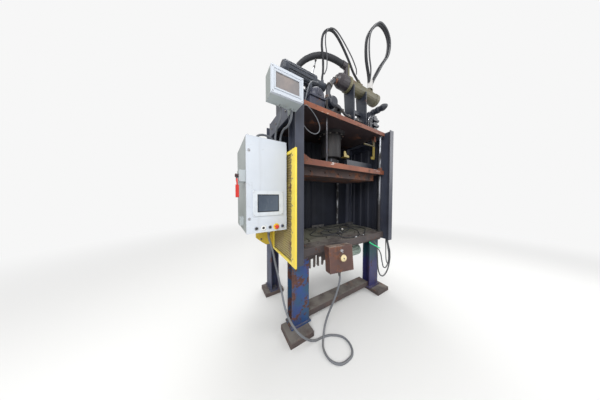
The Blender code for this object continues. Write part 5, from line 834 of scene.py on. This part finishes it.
# thin risers beside the valve block, each with a cap nut
risers = [turned([(0, 0), (0.016, 0), (0.016, 0.012), (0.0095, 0.016), (0.0095, tall - 0.03), (0.015, tall - 0.03),
    (0.015, tall), (0.009, tall + 0.008), (0, tall + 0.008)], (x, 0.15, crownTop), up, 14)
    for x, tall in ((0.455, 2.69 - crownTop), (0.5, 2.76 - crownTop), (0.528, 2.72 - crownTop))]
sheetMesh("risers", risers, pipeFinish)
# a small rigid line over the three risers
sheetMesh("riserLine", [tube(smoothRoute([(0.455, 0.15, 2.694), (0.455, 0.145, 2.715), (0.478, 0.142, 2.745),
    (0.5, 0.145, 2.772), (0.5, 0.15, 2.764)], 0.01), 0.005, 10)], chrome)
# the yellow target plate that stands on the platen's bar
sheetMesh("targetPlate", [slab([(0.041, 2.112), (0.145, 2.112), (0.145, 2.138), (0.092, 2.15), (0.072, 2.195),
    (0.041, 2.195)], "xz", 0.238, 0.244), block((0.041, 0.2385, 2.112), (0.145, 0.29, 2.117))],
    wornPaint("targetPaint", guardYellow, paint=(340, 270, 50), paintTwo=(220, 165, 40)), "platen_body", edge=0.001)
# junction bracket at the curtain's foot, where the loose leads start
sheetMesh("leadBracket", [block((-0.17, 0.7125, 1.0153), (0.08, 0.736, 1.062))]
    + [turned([(0.009, -0.0005), (0.009, 0.008), (0.007, 0.012), (0, 0.012)], (x, 0.7125, 1.04), out, 12)
    for x in (-0.13, -0.05, 0.04)], darkPlastic, edge=0.003)
print("power unit fittings made")

# leads that hang in front of the right leg, and the green tape that ties them
hanging = {"sideLeadOne": (9.5,
    "850 50 859.5, 852 50 838, 885 50 750, 928 50 630, 922 50 480, 855 50 340, 740 50 285, 640 50 345, "
    "592 50 470, 578 52 620, 570 60 760, 562 85 835, 560 100 859.5"), "sideLeadTwo": (8,
    "800 25 859.5, 800 25 838, 812 26 750, 850 28 630, 845 30 500, 780 30 425, 705 30 450, 664 32 560, "
    "642 36 660, 606 44 726, 586 50 752"), "sideLeadThree": (7,
    "868 75 859.5, 868 75 838, 900 74 740, 955 72 640, 980 70 540, 955 70 455, 900 70 440, 862 70 500, "
    "852 72 600, 850 74 720, 846 75 838, 845 75 859.5"),}
layLeads(hanging, strandFinish)
tapeGreen = plainPlastic("tapeGreen", base=(20, 620, 240), dirty=(15, 360, 160), rough=0.4)
ribbon = smoothRoute([(0.425, 0.0845, 0.872), (0.44, 0.08, 0.856), (0.5, 0.068, 0.82), (0.56, 0.058, 0.79),
    (0.598, 0.043, 0.768), (0.64, 0.048, 0.748)], 0.006)
across = np.array([0.15, -0.25, 0.96]) * 0.0085
rows = len(ribbon)
points = np.vstack([ribbon - across, ribbon + across])
tapeBand = sheetMesh("greenTape", [(points, [(k, k + 1, rows + k + 1, rows + k) for k in range(rows - 1)])],
    tapeGreen, smooth=60)
giveWall(tapeBand, 0.0008, -1)
print("side leads and tape made")

# the palm button's dark middle and the selector's keyhole, on the faces that look out of the station
stationOut = -np.array([0.189387, 0.97431, -0.121869])


# middle of the face that lies furthest along a direction
def faceMiddle(node, along):
    data = bpy.data.objects[node].data
    points = np.empty(len(data.vertices) * 3)
    data.vertices.foreach_get("co", points)
    points = points.reshape(-1, 3)
    reach = points @ along
    return points[reach > reach.max() - 0.0004].mean(0) - drawingShift


dots = {"palm_button": ("palmMiddle", 0.0075, "palm_body"), "station_selector": ("selectorKeyhole", 0.0042,
    "selector_body"),}
for node, (name, size, body) in dots.items():
    sheetMesh(name, [turned([(size, -0.001), (size, 0.0008), (size * 0.85, 0.0014)], faceMiddle(node, stationOut),
        stationOut, 20)], darkPlastic, body)

# floor, backdrop and lights
studio = {"floor": (800, 800, 790), "sky": 0.55, "backdrop": 0.93}
floorMesh = bpy.data.meshes.new("floor")
half = 30
floorMesh.from_pydata([(-half, -half, 0), (half, -half, 0), (half, half, 0), (-half, half, 0)], [], [(0, 1, 2, 3)])
floor = addObject("floor", floorMesh)
f = Finish("floorPale")
floorMesh.materials.append(f.use(colour=studio["floor"], rough=0.8))
# far off, what the camera sees of the floor passes into the backdrop's own brightness
away = f.node("VectorMath", {"operation": "LENGTH"}, {0: f.place()}, "Value")
cameraRay = f.node("LightPath", {}, {}, "Is Camera Ray")
paleGlow = f.node("Emission", {}, {"Color": (1000, 1000, 1000), "Strength": studio["backdrop"]})
share = away.ramp(2.2, 8.5) * cameraRay
blended = f.node("MixShader", {}, {0: share, 1: Value(f, f.shader.outputs[0]), 2: paleGlow})
f.feed(f.tree.nodes["Material Output"].inputs["Surface"], blended)

world = bpy.data.worlds.new("studio")
bpy.context.scene.world = world
sky = Finish(world)
straight, mirrored, through = (sky.node("LightPath", {}, {}, f"Is {ray} Ray") for ray in ("Camera", "Glossy",
    "Transmission"))
glow = sky.node("MapRange", {}, {"Value": straight.most(mirrored).most(through), "To Min": studio["sky"],
    "To Max": studio["backdrop"]})
background = sky.tree.nodes["Background"]
sky.feed(background.inputs["Strength"], glow)
sky.feed(background.inputs["Color"], (1000, 1000, 1000))

lamps = {"key": {"place": (-3.6, -4.2, 4.6), "aim": (0, 0, 1.6), "size": 3, "power": 285},
    "fill": {"place": (4.4, -3, 3.6), "aim": (0, 0, 1.5), "size": 3.5, "power": 105},
    "top": {"place": (0.5, 1.5, 7), "aim": (0, 0, 2), "size": 3.5, "power": 220},}
for name, lamp in lamps.items():
    data = bpy.data.lights.new(name, "AREA")
    data.size = lamp["size"]
    data.energy = lamp["power"]
    light = addObject(name, data)
    light.location = lamp["place"]
    light.rotation_euler = (Vector(lamp["aim"]) - Vector(lamp["place"])).to_track_quat("-Z", "Y").to_euler()

bpy.context.scene.view_settings.view_transform = "Standard"

print("studio ready")
